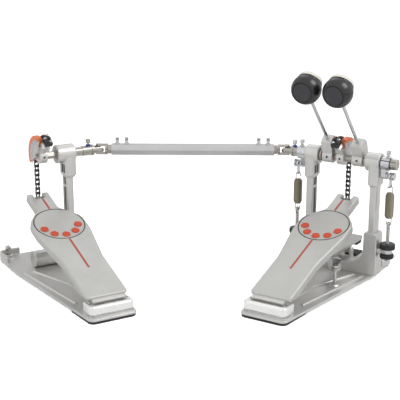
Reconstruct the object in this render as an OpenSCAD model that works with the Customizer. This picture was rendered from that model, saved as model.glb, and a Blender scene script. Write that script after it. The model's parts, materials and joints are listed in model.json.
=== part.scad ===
// Double bass drum pedal: two foot pedals joined by a telescoping shaft with two universal joints.
// Units are millimetres. X runs along the drive shaft, Y points away from the player, Z is up.
// Each pedal is drawn in its own frame (x across the footboard, y forward, the axle above the
// origin) and then set in place; the left pedal is the mirror image of that frame.

/* [Layout] */
// Angle in degrees by which each pedal fans out
fan_angle = 31; // [25:0.5:35]
// From a pedal's centreline to the centre of its universal joint, along the axle
joint_reach = 100; // [99:0.5:106]
// Half the distance between the two universal joints
shaft_half = 161; // [150:1:200]
// Height of both axles above the floor
axle_z = 200; // [196:1:206]
// From the axle back to the heel hinge
heel_reach = 240; // [236:1:250]
// Height of the heel hinge
hinge_z = 20; // [19.5:0.1:21]

/* [Footboard] */
// Half the width at the heel
board_heel_half = 35; // [33:0.5:37]
// Half the width at the round pad
board_wide_half = 46.5; // [46:0.5:48]
// Thickness of the board's plate
board_t = 4; // [3:0.5:4.5]
// Depth of the folded side lips, below the top face
lip_depth = 13; // [11:0.5:14]
// Thickness of the side lips
lip_t = 3; // [2.5:0.5:4]
// Top face above the hinge centre, square to the board
board_rise = 13.7; // [13:0.1:15]
// Radius of the round pad's ring on the board
disc_r = 43; // [40:0.5:43.5]
// From the hinge to the centre of the round pad
disc_u = 199; // [195:1:203]
// Width of the ring groove
ring_w = 1.2; // [0.8:0.1:2]
// Depth of the ring groove, the stripes and the dots' seats
inlay_depth = 0.5; // [0.3:0.1:1]
// Radius of a grip dot
dot_r = 6.3; // [5:0.1:7]
// Height of a grip dot above the board
dot_h = 1.2; // [0.8:0.1:2]
// Radius of the row of grip dots about the pad's centre
dot_ring = 31; // [29:0.5:33]
// Width of the coloured stripes
stripe_w = 3; // [2:0.5:4]
// Radius of the toe pin
toe_pin_r = 1.5; // [1.3:0.1:1.7]
// Toe pin's centre below the board's top face
toe_pin_drop = 6; // [5.5:0.1:7]
// How far the toe and its chain sit outside the board's centreline
toe_offset = 2.5; // [0:0.5:3]
// Half the width of the toe
toe_half = 19.5; // [18:0.5:21]
// Half the width of the toe's notch
notch_half = 8.5; // [7.5:0.5:9]

/* [Base] */
// Half the width of the base at its heel
base_heel_half = 39; // [38:0.5:42]
// Half the width of the base at its back
base_back_half = 63; // [62:0.5:66]
// From the axle forward to the base's back edge
base_back = 80; // [78:1:90]
// From the heel hinge back to the base's heel edge
heel_apron = 24; // [22:0.5:30]
// Thickness of the rubber under the base
rubber_t = 3.5; // [2.5:0.5:4]
// Thickness of the base plate
base_t = 4.5; // [4:0.5:5]
// Height of the raised back wall above the plate
wall_h = 12; // [8:0.5:14]
// Thickness of the raised back wall
wall_t = 4; // [3:0.5:6]
// Width of the base's ribs
rib_w = 4; // [3:0.5:5]
// Height of the base's ribs
rib_h = 2.5; // [1.5:0.5:4]
// Radius of the heel hinge's pin
heel_pin_r = 2.5; // [2:0.1:3]
// Radius of the heel hinge's barrel
barrel_r = 5; // [4.5:0.1:5.4]
// Half the width of the heel hinge's barrel
barrel_half = 26; // [22:0.5:27]

/* [Cradle] */
// Sideways place of the right cradle's centre
cradle_x = 7; // [6:0.5:8]
// From the cradle's centre to the outer face of a housing
housing_out = 66.5; // [66:0.5:67.5]
// Length of a bearing housing
housing_l = 24; // [22:0.5:25]
// Radius of a bearing housing
housing_r = 15.5; // [14.5:0.5:17]
// Bottom of the housing's tongue below the axle
tongue_drop = 40; // [36:1:44]
// Width of the housing's tongue
tongue_w = 18; // [16:0.5:18]
// Width of a post
post_w = 12.5; // [11:0.5:14]
// Depth of a post
post_d = 20; // [19:0.5:21]
// How deep a post sits in its sockets
socket_depth = 10; // [6:1:14]
// Width of the groove in a post
groove_w = 12; // [10:0.5:13]
// Depth of the groove in a post
groove_t = 2.2; // [1.5:0.1:3]
// Top of the cradle's uprights above the floor
upright_z = 82; // [78:1:86]
// Width of an upright
upright_w = 23.5; // [22:0.5:25]
// Depth of the cradle casting
cradle_d = 26; // [25:0.5:30]
// Top of the cross member above the floor
cross_z = 26; // [24:0.5:28]
// Radius of the left pedal's round cross bar
bar_r = 14; // [12:0.5:15]
// Outer radius of a ball bearing
bearing_r = 11; // [10:0.5:12]
// Width of a ball bearing
bearing_w = 6; // [5:0.5:7]
// Radial clearance of a part that turns or slides in a bore
running_gap = 0.05; // [0.02:0.01:0.09]
// Size across the flats of the key bolts' square heads
key_af = 6; // [5.5:0.1:6.4]

/* [Axles] */
// Size across the flats of the hexagonal axle
axle_af = 11; // [10:0.5:11.5]
// Radius of the axle's round journals
journal_r = 6.9; // [6.8:0.1:7.5]
// Distance from the axle to the rocker's pin
rocker_reach = 20; // [18.5:0.5:21]
// Radius of the rocker's pin
rocker_pin_r = 2.5; // [2.2:0.1:2.8]
// Radius of the chain's line about the axle
chain_r = 31; // [30.5:0.1:31.5]
// Outer radius of the cam's coloured insert
cam_r = 35.5; // [35:0.5:37]
// Width of the cam's coloured insert
cam_w = 18; // [16:0.5:19]

/* [Chain] */
// Distance between the chain's pins
chain_pitch = 8; // [7.8:0.1:8.1]
// Number of straight links from cam to toe
run_links = 10; // [10:1:10]
// Radius of the chain plates' ends
plate_r = 3.1; // [2.8:0.1:3.3]
// Thickness of a chain plate
plate_t = 0.8; // [0.6:0.1:1]
// Radius of the chain's pins
link_pin_r = 1.2; // [1:0.1:1.4]
// Radial play of the open pivot at the toe
toe_play = 1.95; // [1.8:0.05:2.1]

/* [Beaters] */
// Backward lean of the beaters at rest
lean = 42; // [38:1:45]
// Distance of the beater rod's line in front of the axle
rod_offset = 14; // [12:0.5:16]
// From the foot of that line to the beater head's centre
beater_reach = 157; // [150:1:190]
// Radius of the beater rod
rod_r = 2.8; // [2.5:0.1:3.2]
// Radius of the beater head
head_r = 24; // [22:0.5:26]
// Radius of the felt pad
felt_r = 19; // [16:0.5:20]
// Width of a beater hub
hub_w = 18; // [16:0.5:19]
// From the cradle's centre to the middle of a beater hub
hub_mid = 26.8; // [26:0.2:27.2]

/* [Springs] */
// From the cradle's centre to a spring's line
spring_x = 83.5; // [83:0.1:84]
// Mean radius of a coil
coil_r = 6.6; // [6:0.1:7]
// Radius of the spring wire
wire_r = 1.1; // [0.9:0.05:1.2]
// Number of curls in a spring
curls = 15; // [12:1:16]
// Rise of the spring for each curl
curl_rise = 2.9; // [2.8:0.05:2.95]
// Mean radius of a spring's hooks
hook_r = 4.3; // [4:0.1:4.6]
// From the rocker's pin down to the eye bolt's eye
spring_span = 83; // [82:0.5:85]
// Radial play of the link's upper eye
link_play = 1.75; // [1.6:0.05:1.9]
// Radius of the eye bolts
eyebolt_r = 3; // [2.6:0.1:3.2]
// Radius of the upper knurled nut
nut_r = 13; // [11:0.5:13.5]
// Underside of the spring ears above the floor
ear_z = 48; // [46:0.5:50]
// Thickness of the spring ears
ear_t = 7; // [6:0.5:7]

/* [Hoop clamp] */
// Width of the clamp lever
clamp_w = 24; // [20:1:26]
// Thickness of the clamp lever
clamp_t = 5; // [4:0.5:6]
// Underside of the clamp lever above the floor
clamp_z = 39; // [38:0.5:41]
// From the axle forward to the lever's pivot
clamp_pivot_y = 22; // [21:0.5:25]
// From the axle back to the clamp screw
clamp_screw_y = 84; // [80:1:86]
// From the pedal's centreline sideways to the clamp screw
clamp_screw_x = 36; // [34:0.5:38]
// Radius of the clamp screw
clamp_screw_r = 3; // [2.5:0.1:3.5]

/* [Drive shaft] */
// Size across the flats of the drive tube
tube_af = 18; // [17.5:0.5:20]
// Size across the flats of the sliding rods
rod_af = 14; // [13:0.5:14]
// From a universal joint's centre to the tube's end
tube_gap = 22; // [20:0.5:26]
// How far each rod reaches into the tube
rod_insert = 60; // [50:1:80]
// Radius of the universal joints' pins
cross_pin_r = 2.4; // [2:0.1:2.6]
// Radial play of the universal joints' open pins
cross_play = 0.45; // [0.4:0.05:0.5]
// Outer radius of the universal joints' forks
fork_r = 9.5; // [9:0.1:10]

/* [Hidden] */
$fn = 40;

cast = [0.74, 0.74, 0.72];
chrome_col = [0.85, 0.86, 0.87];
steel = [0.70, 0.68, 0.62];
black = [0.10, 0.10, 0.11];
orange = [0.93, 0.42, 0.24];
red = [0.80, 0.24, 0.16];
spring_col = [0.52, 0.49, 0.43];
felt_col = [0.90, 0.86, 0.74];

// Clearance between neighbours on different bodies
free_gap = 0.4;
plate_top = rubber_t + base_t;
base_heel = heel_reach + heel_apron;

// Places of the two pedals; the shifts set the whole object's middle on the origin
corner_r = 12;
heel_corner_r = 10;
reach_x = shaft_half + joint_reach * cos(fan_angle);
reach_y = -joint_reach * sin(fan_angle);
back_turn = (base_back - corner_r) * sin(fan_angle) + corner_r;
right_end = reach_x + (base_back_half + cradle_x - corner_r) * cos(fan_angle) + back_turn;
left_end = reach_x + (base_back_half - corner_r) * cos(fan_angle) + back_turn;
front_end = reach_y - (base_heel_half - heel_corner_r) * sin(fan_angle)
  - (base_heel - heel_corner_r) * cos(fan_angle) - heel_corner_r;
back_end = reach_y + (base_back_half - corner_r) * sin(fan_angle)
  + (base_back - corner_r) * cos(fan_angle) + corner_r;
shift_x = (right_end - left_end) / 2;
shift_y = (front_end + back_end) / 2;

module shaft_frame() translate([-shift_x, -shift_y, 0]) children();
module right_pedal()
  shaft_frame() translate([reach_x, reach_y, 0]) rotate([0, 0, -fan_angle]) children();
module left_pedal()
  shaft_frame() mirror([1, 0, 0])
    translate([reach_x, reach_y, 0]) rotate([0, 0, -fan_angle]) children();

// Helpers for shapes along an axis and for rounded outlines
module xcyl(x0, x1, r) translate([x0, 0, 0]) rotate([0, 90, 0]) cylinder(r = r, h = x1 - x0);
module ycyl(y0, y1, r) translate([0, y1, 0]) rotate([90, 0, 0]) cylinder(r = r, h = y1 - y0);
module xhex(x0, x1, af)
  translate([x0, 0, 0]) rotate([0, 90, 0]) rotate([0, 0, 30])
    cylinder(r = af / 2 / cos(30), h = x1 - x0, $fn = 6);
module xprism(x0, x1)
  translate([x0, 0, 0]) rotate([90, 0, 90]) linear_extrude(x1 - x0) children();
module yprism(y0, y1)
  translate([0, y1, 0]) rotate([90, 0, 0]) linear_extrude(y1 - y0) children();
module block(lo, hi) translate(lo) cube(hi - lo);
module at_axle() translate([0, 0, axle_z]) children();
// Turns a profile (radius, x) about the X axis, from one angle to another measured from +Y to +Z
module xsweep(a0, a1)
  rotate([90, 0, 90]) rotate([0, 0, a0]) rotate_extrude(angle = a1 - a0) children();

function unit(v) = v / norm(v);
function turn(v, a) = [v.x * cos(a) - v.y * sin(a), v.x * sin(a) + v.y * cos(a)];
function arc_at(a, p, b, r, n = 5) =
  let (u = unit(a - p), v = unit(b - p), open = acos(u * v), t = r / tan(open / 2))
  let (c = p + unit(u + v) * r / sin(open / 2), s = p + u * t - c, e = p + v * t - c)
  let (side = cross([s.x, s.y, 0], [e.x, e.y, 0]).z > 0 ? 1 : -1)
  [for (k = [0:n]) c + turn(s, side * k * (180 - open) / n)];
// Outline from corner points [x, y, corner radius]
function rounded(pts) = let (n = len(pts), q = [for (p = pts) [p.x, p.y]])
  [for (i = [0:n - 1])
    each (pts[i][2] > 0 ? arc_at(q[(i + n - 1) % n], q[i], q[(i + 1) % n], pts[i][2]) : [q[i]])];
module shape(pts) polygon(rounded(pts));
module round_box(x0, x1, y0, y1, r) shape([[x0, y0, r], [x1, y0, r], [x1, y1, r], [x0, y1, r]]);

// Footboard plane: u runs from the hinge to the toe, w is square to the board
toe_pin_z = axle_z - run_links * chain_pitch;
toe_dy = heel_reach + chain_r;
toe_dz = toe_pin_z - hinge_z;
toe_dist = norm([toe_dy, toe_dz]);
toe_pin_w = board_rise - toe_pin_drop;
board_slope = atan(toe_dz / toe_dy) - asin(toe_pin_w / toe_dist);
toe_pin_u = sqrt(toe_dist * toe_dist - toe_pin_w * toe_pin_w);
heel_u = 4;
toe_u = toe_pin_u + 6;
notch_u = toe_pin_u - 9;
plate_bottom = board_rise - board_t;

module board_frame() translate([0, -heel_reach, hinge_z]) rotate([board_slope, 0, 0]) children();

// Right half of the footboard's outline, drawn in by i; the toe sits toe_offset to the side
function half_board(i, side) = [
  [side * (board_heel_half - i), heel_u + i, 7 - i],
  [side * (board_heel_half - i), 100, 60],
  [side * (board_wide_half - i), disc_u - 22, 25],
  [side * (board_wide_half - i), disc_u + 14, 30 - i],
  [toe_offset + side * (toe_half - i), disc_u + 47, 16 + i],
  [toe_offset + side * (toe_half - i), toe_u - i, 3],
  [toe_offset + side * (notch_half + i), toe_u - i, 1.5],
  [toe_offset + side * (notch_half + i), notch_u - i, 3]
];
function reversed(a) = [for (i = [len(a) - 1:-1:0]) a[i]];
function board_outline(i) = concat(half_board(i, 1), reversed(half_board(i, -1)));

lip_start_u = 20;
module footboard() color(cast) board_frame() {
  difference() {
    union() {
      translate([0, 0, plate_bottom]) linear_extrude(board_t) shape(board_outline(0));
      difference() {
        translate([0, 0, board_rise - lip_depth]) linear_extrude(lip_depth - board_t / 2)
          shape(board_outline(0));
        translate([0, 0, -lip_depth]) linear_extrude(3 * lip_depth) shape(board_outline(lip_t));
        block([-60, heel_u - 5, -20], [60, lip_start_u, board_rise]);
      }
      for (s = [-1, 1])
        translate([toe_offset, 0, 0])
          block([s > 0 ? notch_half : -toe_half + 1, notch_u - 2, board_rise - lip_depth],
                [s > 0 ? toe_half - 1 : -notch_half, toe_u - 4, plate_bottom + 1]);
      xcyl(-barrel_half, barrel_half, barrel_r);
      block([-barrel_half, -4, 0], [barrel_half, heel_u + 4, plate_bottom + 1]);
    }
    xcyl(-barrel_half - 1, barrel_half + 1, heel_pin_r + running_gap);
    translate([0, toe_pin_u, toe_pin_w]) xcyl(-toe_half, toe_half + 2 * toe_offset, toe_pin_r);
    translate([0, disc_u, board_rise - inlay_depth]) difference() {
      cylinder(r = disc_r, h = 2);
      translate([0, 0, -1]) cylinder(r = disc_r - ring_w, h = 4);
    }
    translate([0, 0, board_rise - inlay_depth]) inlay_plan(2);
  }
}

dot_step = 36.3;
stripe_start = 75;
stripe_end = toe_pin_u - 13;
module inlay_plan(h) {
  for (k = [-2:2])
    translate([dot_ring * sin(k * dot_step), disc_u - dot_ring * cos(k * dot_step), 0])
      cylinder(r = dot_r, h = h);
  for (span = [[stripe_start, disc_u - disc_r - 1], [disc_u + disc_r + 1, stripe_end]])
    block([-stripe_w / 2, span[0], 0], [stripe_w / 2, span[1], min(h, inlay_depth + 0.2)]);
}
module foot_inlays() color(red) board_frame()
  translate([0, 0, board_rise - inlay_depth]) inlay_plan(inlay_depth + dot_h);

module toe_pin() color(steel) board_frame()
  translate([0, toe_pin_u, toe_pin_w])
    xcyl(toe_offset - toe_half + 1, toe_offset + toe_half - 1, toe_pin_r);

// Roller chain: plates and rollers lie along a list of pin centres (y, z)
inner_x = 2;
outer_x = inner_x + plate_t + 0.15;
link_step = 2 * asin(chain_pitch / 2 / chain_r);
wrap_links = 6;
function on_cam(k) = [chain_r * cos(k * link_step), axle_z + chain_r * sin(k * link_step)];
function hanging(k) = [chain_r, axle_z - k * chain_pitch];

module link_plate(p, q, x0, hole_p = 0, hole_q = 0, end_r = plate_r) {
  d = q - p;
  difference() {
    translate([0, p.x, p.y]) rotate([atan2(d.y, d.x), 0, 0]) {
      xcyl(x0, x0 + plate_t, plate_r);
      translate([0, norm(d), 0]) xcyl(x0, x0 + plate_t, end_r);
      block([x0, 0, -plate_r * 0.7], [x0 + plate_t, norm(d), plate_r * 0.7]);
    }
    if (hole_p > 0) translate([0, p.x, p.y]) xcyl(x0 - 1, x0 + 2, hole_p);
    if (hole_q > 0) translate([0, q.x, q.y]) xcyl(x0 - 1, x0 + 2, hole_q);
  }
}
module link_pair(p, q, outer, hole_p = 0, hole_q = 0, end_r = plate_r)
  for (s = [0, 1])
    mirror([s, 0, 0]) link_plate(p, q, outer ? outer_x : inner_x, hole_p, hole_q, end_r);
module link_pin(p) translate([0, p.x, p.y]) {
  xcyl(-outer_x - plate_t - 0.4, outer_x + plate_t + 0.4, link_pin_r);
  xcyl(-inner_x - 0.1, inner_x + 0.1, link_pin_r + 1.1);
}

pivot_hole = link_pin_r + running_gap;
module chain_run() color(black) translate([toe_offset, 0, 0]) {
  link_pair(on_cam(1), on_cam(0), false, pivot_hole);
  for (k = [0:run_links - 2]) link_pair(hanging(k), hanging(k + 1), k % 2 == 0);
  for (k = [0:run_links - 1]) link_pin(hanging(k));
  link_pair(hanging(run_links - 1), hanging(run_links), run_links % 2 == 1, 0,
    toe_pin_r + toe_play, toe_pin_r + toe_play + 1.3);
}
anchor_r = 3.6;
anchor_turn = (wrap_links + 1) * link_step;
module chain_wrap() color(black) translate([toe_offset, 0, 0]) {
  for (k = [1:wrap_links]) link_pair(on_cam(k), on_cam(k + 1), k % 2 == 1);
  for (k = [2:wrap_links + 1]) link_pin(on_cam(k));
  translate([0, on_cam(1).x, on_cam(1).y]) {
    xcyl(-outer_x - plate_t - 0.4, outer_x + plate_t + 0.4, link_pin_r);
    xcyl(-inner_x + 0.1, inner_x - 0.1, link_pin_r + 1.1);
  }
  translate([0, on_cam(wrap_links + 1).x, on_cam(wrap_links + 1).y])
    xcyl(free_gap - groove_half, groove_half - free_gap, anchor_r);
}

// Cam: a coloured insert with a groove for the chain, held between grey side plates
cam_low = -25;
cam_high = 107;
groove_r = chain_r - plate_r - 0.7;
groove_half = outer_x + plate_t + 0.4 + free_gap;
cam_bore_r = 18;
side_r = cam_r - 5;
side_t = 2.2;
core_r = axle_af / 4;
cam_x0 = toe_offset - cam_w / 2;
cam_x1 = toe_offset + cam_w / 2;
collar_r = 12;
collar_x0 = -2;
collar_x1 = 10;
screw_hole_r = 2;
screw_turn = 25;
bridge_low = anchor_turn + asin((anchor_r + free_gap) / (chain_r - 2));
bridge_high = cam_high + 34;
module cam_insert() color(orange) at_axle() xsweep(cam_low, cam_high) polygon([
  [cam_bore_r + 0.1, cam_x0], [cam_r - 1, cam_x0], [cam_r, cam_x0 + 1],
  [cam_r, toe_offset - groove_half], [groove_r, toe_offset - groove_half],
  [groove_r, toe_offset + groove_half], [cam_r, toe_offset + groove_half],
  [cam_r, cam_x1 - 1], [cam_r - 1, cam_x1], [cam_bore_r + 0.1, cam_x1]]);
module cam_hub() color(cast) at_axle() difference() {
  union() {
    xcyl(collar_x0, collar_x1, collar_r);
    xsweep(cam_low, cam_high + 4) polygon([
      [core_r, cam_x0 - side_t], [side_r, cam_x0 - side_t], [side_r, cam_x0], [cam_bore_r, cam_x0],
      [cam_bore_r, cam_x1], [side_r, cam_x1], [side_r, cam_x1 + side_t], [core_r, cam_x1 + side_t]]);
    xsweep(bridge_low, bridge_high) polygon([
      [core_r, collar_x0 + 1], [26, collar_x0 + 1], [29, collar_x0 + 4], [29, collar_x1 - 4],
      [26, collar_x1 - 1], [core_r, collar_x1 - 1]]);
  }
  xhex(cam_x0 - 10, cam_x1 + 10, axle_af);
  translate([(collar_x0 + collar_x1) / 2, 0, 0])
    rotate([0, screw_turn, 0]) ycyl(-collar_r - 1, 0, screw_hole_r);
}

// Beaters: the hub, rod and head share the rod's line, which leans back by the lean angle
module beater_frame(x)
  translate([x, 0, axle_z]) rotate([lean, 0, 0]) translate([0, rod_offset, 0]) children();
rod_bottom = 2;
rod_top = beater_reach + 8;
felt_y0 = 12;
felt_t = 13;
flat_y = -17;
module beater_hub(x) color(cast) difference() {
  union() {
    beater_frame(x) xprism(-hub_w / 2, hub_w / 2)
      shape([[-9, 31, 2], [8, 31, 2], [13, 17, 2], [6, 0, 2], [-8, -9, 2], [-19, 2, 2],
        [-15, 16, 2]]);
    translate([x, 0, axle_z]) xcyl(-hub_w / 2, hub_w / 2, collar_r - 1);
  }
  translate([x, 0, axle_z]) xhex(-hub_w, hub_w, axle_af);
  beater_frame(x) translate([0, 0, -30]) cylinder(r = rod_r + running_gap, h = 90);
  translate([x, 0, axle_z]) rotate([0, screw_turn, 0]) ycyl(-collar_r - 8, 0, screw_hole_r);
}
module beater_rod(x) color(chrome_col) beater_frame(x)
  translate([0, 0, rod_bottom]) cylinder(r = rod_r, h = rod_top - rod_bottom);
module head_frame(x) beater_frame(x) translate([0, 0, beater_reach]) children();
module beater_head(x) color(black) head_frame(x) difference() {
  intersection() {
    sphere(r = head_r);
    block([-head_r, flat_y, -head_r], [head_r, felt_y0, head_r]);
  }
  ycyl(flat_y - 1, flat_y + 1, 13);
  translate([0, 0, -head_r - 1]) cylinder(r = rod_r, h = head_r + 9);
}
module beater_felt(x) color(felt_col) head_frame(x)
  translate([0, felt_y0, 0]) rotate([-90, 0, 0]) rotate_extrude()
    polygon([[0, 0], [felt_r, 0], [felt_r, felt_t - 4], [felt_r - 1.2, felt_t - 1.2],
      [felt_r - 4, felt_t], [0, felt_t]]);

// Rocker, link, spring and eye bolt stand in line below the axle, x is the spring's line
pin_z = axle_z - rocker_reach;
eye_z = pin_z - spring_span;
link_t = 3;
link_hole_r = 1.9;
link_z = pin_z - 16;
rocker_key_x = housing_out + 11;
rocker_key_z = collar_r - 2;
// x from the housing's outer face, drawn for the right side of the cradle
module cradle_side(s) translate([cradle_x, 0, 0]) mirror([s > 0 ? 0 : 1, 0, 0]) children();
module rocker(s) color(chrome_col) cradle_side(s) difference() {
  union() {
    at_axle() xcyl(housing_out + 2, housing_out + 16, collar_r - 1);
    at_axle() xprism(housing_out + 2, housing_out + 10)
      shape([[-8.5, 2, 2], [8.5, 2, 2], [6, -rocker_reach - 5, 4], [-6, -rocker_reach - 5, 4]]);
    translate([0, 0, pin_z]) {
      xcyl(housing_out + 8, spring_x + 6, rocker_pin_r);
      xcyl(housing_out + 10, housing_out + 12.5, rocker_pin_r + 3.2);
      xcyl(spring_x + 3.2, spring_x + 6.4, rocker_pin_r + 4);
    }
  }
  at_axle() xhex(housing_out, housing_out + 20, axle_af);
  translate([rocker_key_x, 0, axle_z + rocker_key_z]) key_seat();
}
module spring_link(s) color(chrome_col) cradle_side(s) difference() {
  x0 = spring_x - link_t / 2;
  union() {
    translate([0, 0, pin_z]) xcyl(x0, x0 + link_t, rocker_pin_r + link_play + 2.2);
    translate([0, 0, link_z]) xcyl(x0, x0 + link_t, link_hole_r + 2.1);
    block([x0, -3, link_z], [x0 + link_t, 3, pin_z]);
  }
  translate([0, 0, pin_z]) xcyl(x0 - 1, x0 + link_t + 1, rocker_pin_r + link_play);
  translate([0, 0, link_z]) xcyl(x0 - 1, x0 + link_t + 1, link_hole_r);
}

// Spring wire: a hook, the curls and a second hook as one line of points, tapered at the ends
coil_h = curls * curl_rise;
steps = 8;
bend_r = 2.6;
wire_top = link_z;
wire_bottom = eye_z;
coil_z0 = (wire_top + wire_bottom - coil_h) / 2;
hook_lift = (wire_top - wire_bottom - coil_h) / 2 - hook_r - bend_r;
hook_start = asin(bend_r / hook_r);
taper = 2.5;
function coil_radius(t) = let (e = min(t, curls - t))
  e >= taper ? coil_r : hook_r + (coil_r - hook_r) * e / taper;
coil_turn = 360 * curls - hook_start * 2;
function coil_point(k, n) = let (f = k / n, a = hook_start + f * coil_turn, r = coil_radius(f * curls))
  [r * cos(a), r * sin(a), coil_z0 + f * coil_h];
coil_n = curls * steps;
hook_end = 190;
// Upper hook: a quarter bend upwards, a straight lift, then most of a ring and a straight tip
function hook_points() =
  let (x0 = hook_r * cos(hook_start), z0 = coil_h / 2, z1 = z0 + bend_r + hook_lift)
  concat([for (k = [1:3]) let (a = k * 30)
      [x0 + (hook_r - x0) * k / 3, -bend_r * (1 - sin(a)), z0 + bend_r * (1 - cos(a))]],
    [for (k = [0:14]) let (a = k * hook_end / 14) [hook_r * cos(a), 0, z1 + hook_r * sin(a)]],
    [[hook_r * cos(hook_end) - 2 * wire_r * sin(hook_end), 0,
      z1 + hook_r * sin(hook_end) + 2 * wire_r * cos(hook_end)]]);
mid_z = coil_z0 + coil_h / 2;
upper_hook = [for (p = hook_points()) [p.x, p.y, mid_z + p.z]];
lower_hook = reversed([for (p = hook_points()) [p.x, -p.y, mid_z - p.z]]);
wire_points = concat(lower_hook, [for (k = [0:coil_n]) coil_point(k, coil_n)], upper_hook);
wire_gap = min([for (i = [0:len(wire_points) - 1]) for (j = [i + 5:1:len(wire_points) - 1])
  norm(wire_points[i] - wire_points[j])]) - 2 * wire_r;
echo(wire_gap = wire_gap);

// Tube along points: each ring of corners is carried from the last one without twist
sides = 6;
function tangent(p, i) = unit(p[min(i + 1, len(p) - 1)] - p[max(i - 1, 0)]);
function frames(p, i = 0, n = [0, 1, 0]) = let (t = tangent(p, i), m = unit(n - (n * t) * t))
  i == len(p) - 1 ? [m] : concat([m], frames(p, i + 1, m));
module tube(p, r) {
  n = frames(p);
  rings = [for (i = [0:len(p) - 1]) let (t = tangent(p, i), b = cross(t, n[i]))
    for (k = [0:sides - 1]) p[i] + r * (cos(k * 60) * n[i] + sin(k * 60) * b)];
  last = sides * (len(p) - 1);
  skin = [for (i = [0:len(p) - 2]) for (k = [0:sides - 1])
    let (a = i * sides + k, b = i * sides + (k + 1) % sides)
    each [[a, b, a + sides], [b, b + sides, a + sides]]];
  caps = [for (k = [1:sides - 2]) each [[0, k + 1, k], [last, last + k, last + k + 1]]];
  polyhedron(rings, [for (f = concat(skin, caps)) [f[0], f[2], f[1]]]);
}
module spring(s) color(spring_col) cradle_side(s) translate([spring_x, 0, 0])
  tube(wire_points, wire_r);

eye_ring_r = 4.0;
eye_wire_r = 1.9;
nut_gap = 0.2;
bolt_low = ear_z - 13;
module eye_bolt(s) color(chrome_col) cradle_side(s) translate([spring_x, 0, 0]) {
  translate([0, 0, bolt_low]) cylinder(r = eyebolt_r, h = eye_z - eye_ring_r - bolt_low);
  translate([0, 0, eye_z]) rotate([0, 90, 0]) rotate_extrude() translate([eye_ring_r, 0])
    circle(r = eye_wire_r, $fn = 24);
}
module spring_nuts() color(black) for (s = [-1, 1]) cradle_side(s) translate([spring_x, 0, 0]) {
  for (n = [[ear_z + ear_t + nut_gap, nut_r, 10], [ear_z - nut_gap - 8, nut_r - 1.5, 8]]) difference() {
    union() {
      translate([0, 0, n[0]]) cylinder(r = n[1] - 0.8, h = n[2]);
      translate([0, 0, n[0] + 1.5]) cylinder(r = n[1], h = n[2] - 3);
    }
    translate([0, 0, n[0] - 1]) cylinder(r = eyebolt_r + running_gap, h = n[2] + 2);
  }
}

// Key bolt: round foot, neck and square head; key_seat is the flat that its foot rests on
foot_bolt_r = 3.8;
key_half = key_af / 2;
module key_bolt() {
  cylinder(r = foot_bolt_r, h = 2.5);
  translate([0, 0, 2.4]) cylinder(r = 2.2, h = 3.2);
  translate([-key_half, -key_half, 5.5]) cube([key_af, key_af, 6.5]);
}
module key_seat() cylinder(r = foot_bolt_r + free_gap, h = 8);

// Base plate: flat cast plate with ribs, a raised back wall and the seats of what stands on it
side_y = -(heel_reach - 40);
waist_y = -12;
side_half = base_heel_half + 7;
function base_points(shift, i = 0) = [
  [-(base_heel_half - i), -(base_heel - i), heel_corner_r - i],
  [base_heel_half - i, -(base_heel - i), heel_corner_r - i],
  [side_half - i, side_y, 60],
  [shift + base_back_half - i, waist_y, 40],
  [shift + base_back_half - i, base_back - i, corner_r - i],
  [shift - base_back_half + i, base_back - i, corner_r - i],
  [shift - base_back_half + i, waist_y, 40],
  [-(side_half - i), side_y, 60]
];
module rib(a, b) translate([a.x, a.y, plate_top - 0.5]) rotate([0, 0, atan2(b.y - a.y, b.x - a.x)])
  translate([0, -rib_w / 2, 0]) cube([norm(b - a), rib_w, rib_h + 0.5]);
screw_seat_r = 7;
rib_y0 = side_y + 10;
rib_y1 = -22;
fork_y = -110;
wall_gap = 24;
module base_plate(shift) color(cast) union() {
  translate([0, 0, rubber_t]) linear_extrude(base_t) shape(base_points(shift));
  difference() {
    translate([0, 0, plate_top - 1]) linear_extrude(wall_h + 1) shape(base_points(shift));
    translate([0, 0, plate_top - 2]) linear_extrude(wall_h + 5) shape(base_points(shift, wall_t));
    block([-2 * base_back_half, -base_heel - 1, 0], [2 * base_back_half, cradle_d / 2 + 22, 60]);
    block([shift - wall_gap, 0, 0], [shift + wall_gap, base_back + 5, 60]);
  }
  for (s = [-1, 1]) {
    rib([s * (base_heel_half - 8), rib_y0], [shift * 0.9 + s * (base_back_half - 11), rib_y1]);
    rib([s * 8, rib_y0], [shift * 0.5 + s * 6, fork_y]);
    rib([shift * 0.5 + s * 6, fork_y], [shift * 0.9 + s * (base_back_half - 27), rib_y1]);
  }
}
foot_r = 9;
module base_pads(shift) color(black) {
  linear_extrude(rubber_t) shape([
    [-(base_heel_half - 0.5), -(base_heel - 0.5), heel_corner_r - 0.5],
    [base_heel_half - 0.5, -(base_heel - 0.5), heel_corner_r - 0.5],
    [side_half - 2.5, side_y + 2, 3], [-(side_half - 2.5), side_y + 2, 3]]);
  for (s = [-1, 1]) for (y = [20, base_back - corner_r])
    translate([shift + s * (base_back_half - corner_r), y, 0]) cylinder(r = foot_r, h = rubber_t);
}

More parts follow.
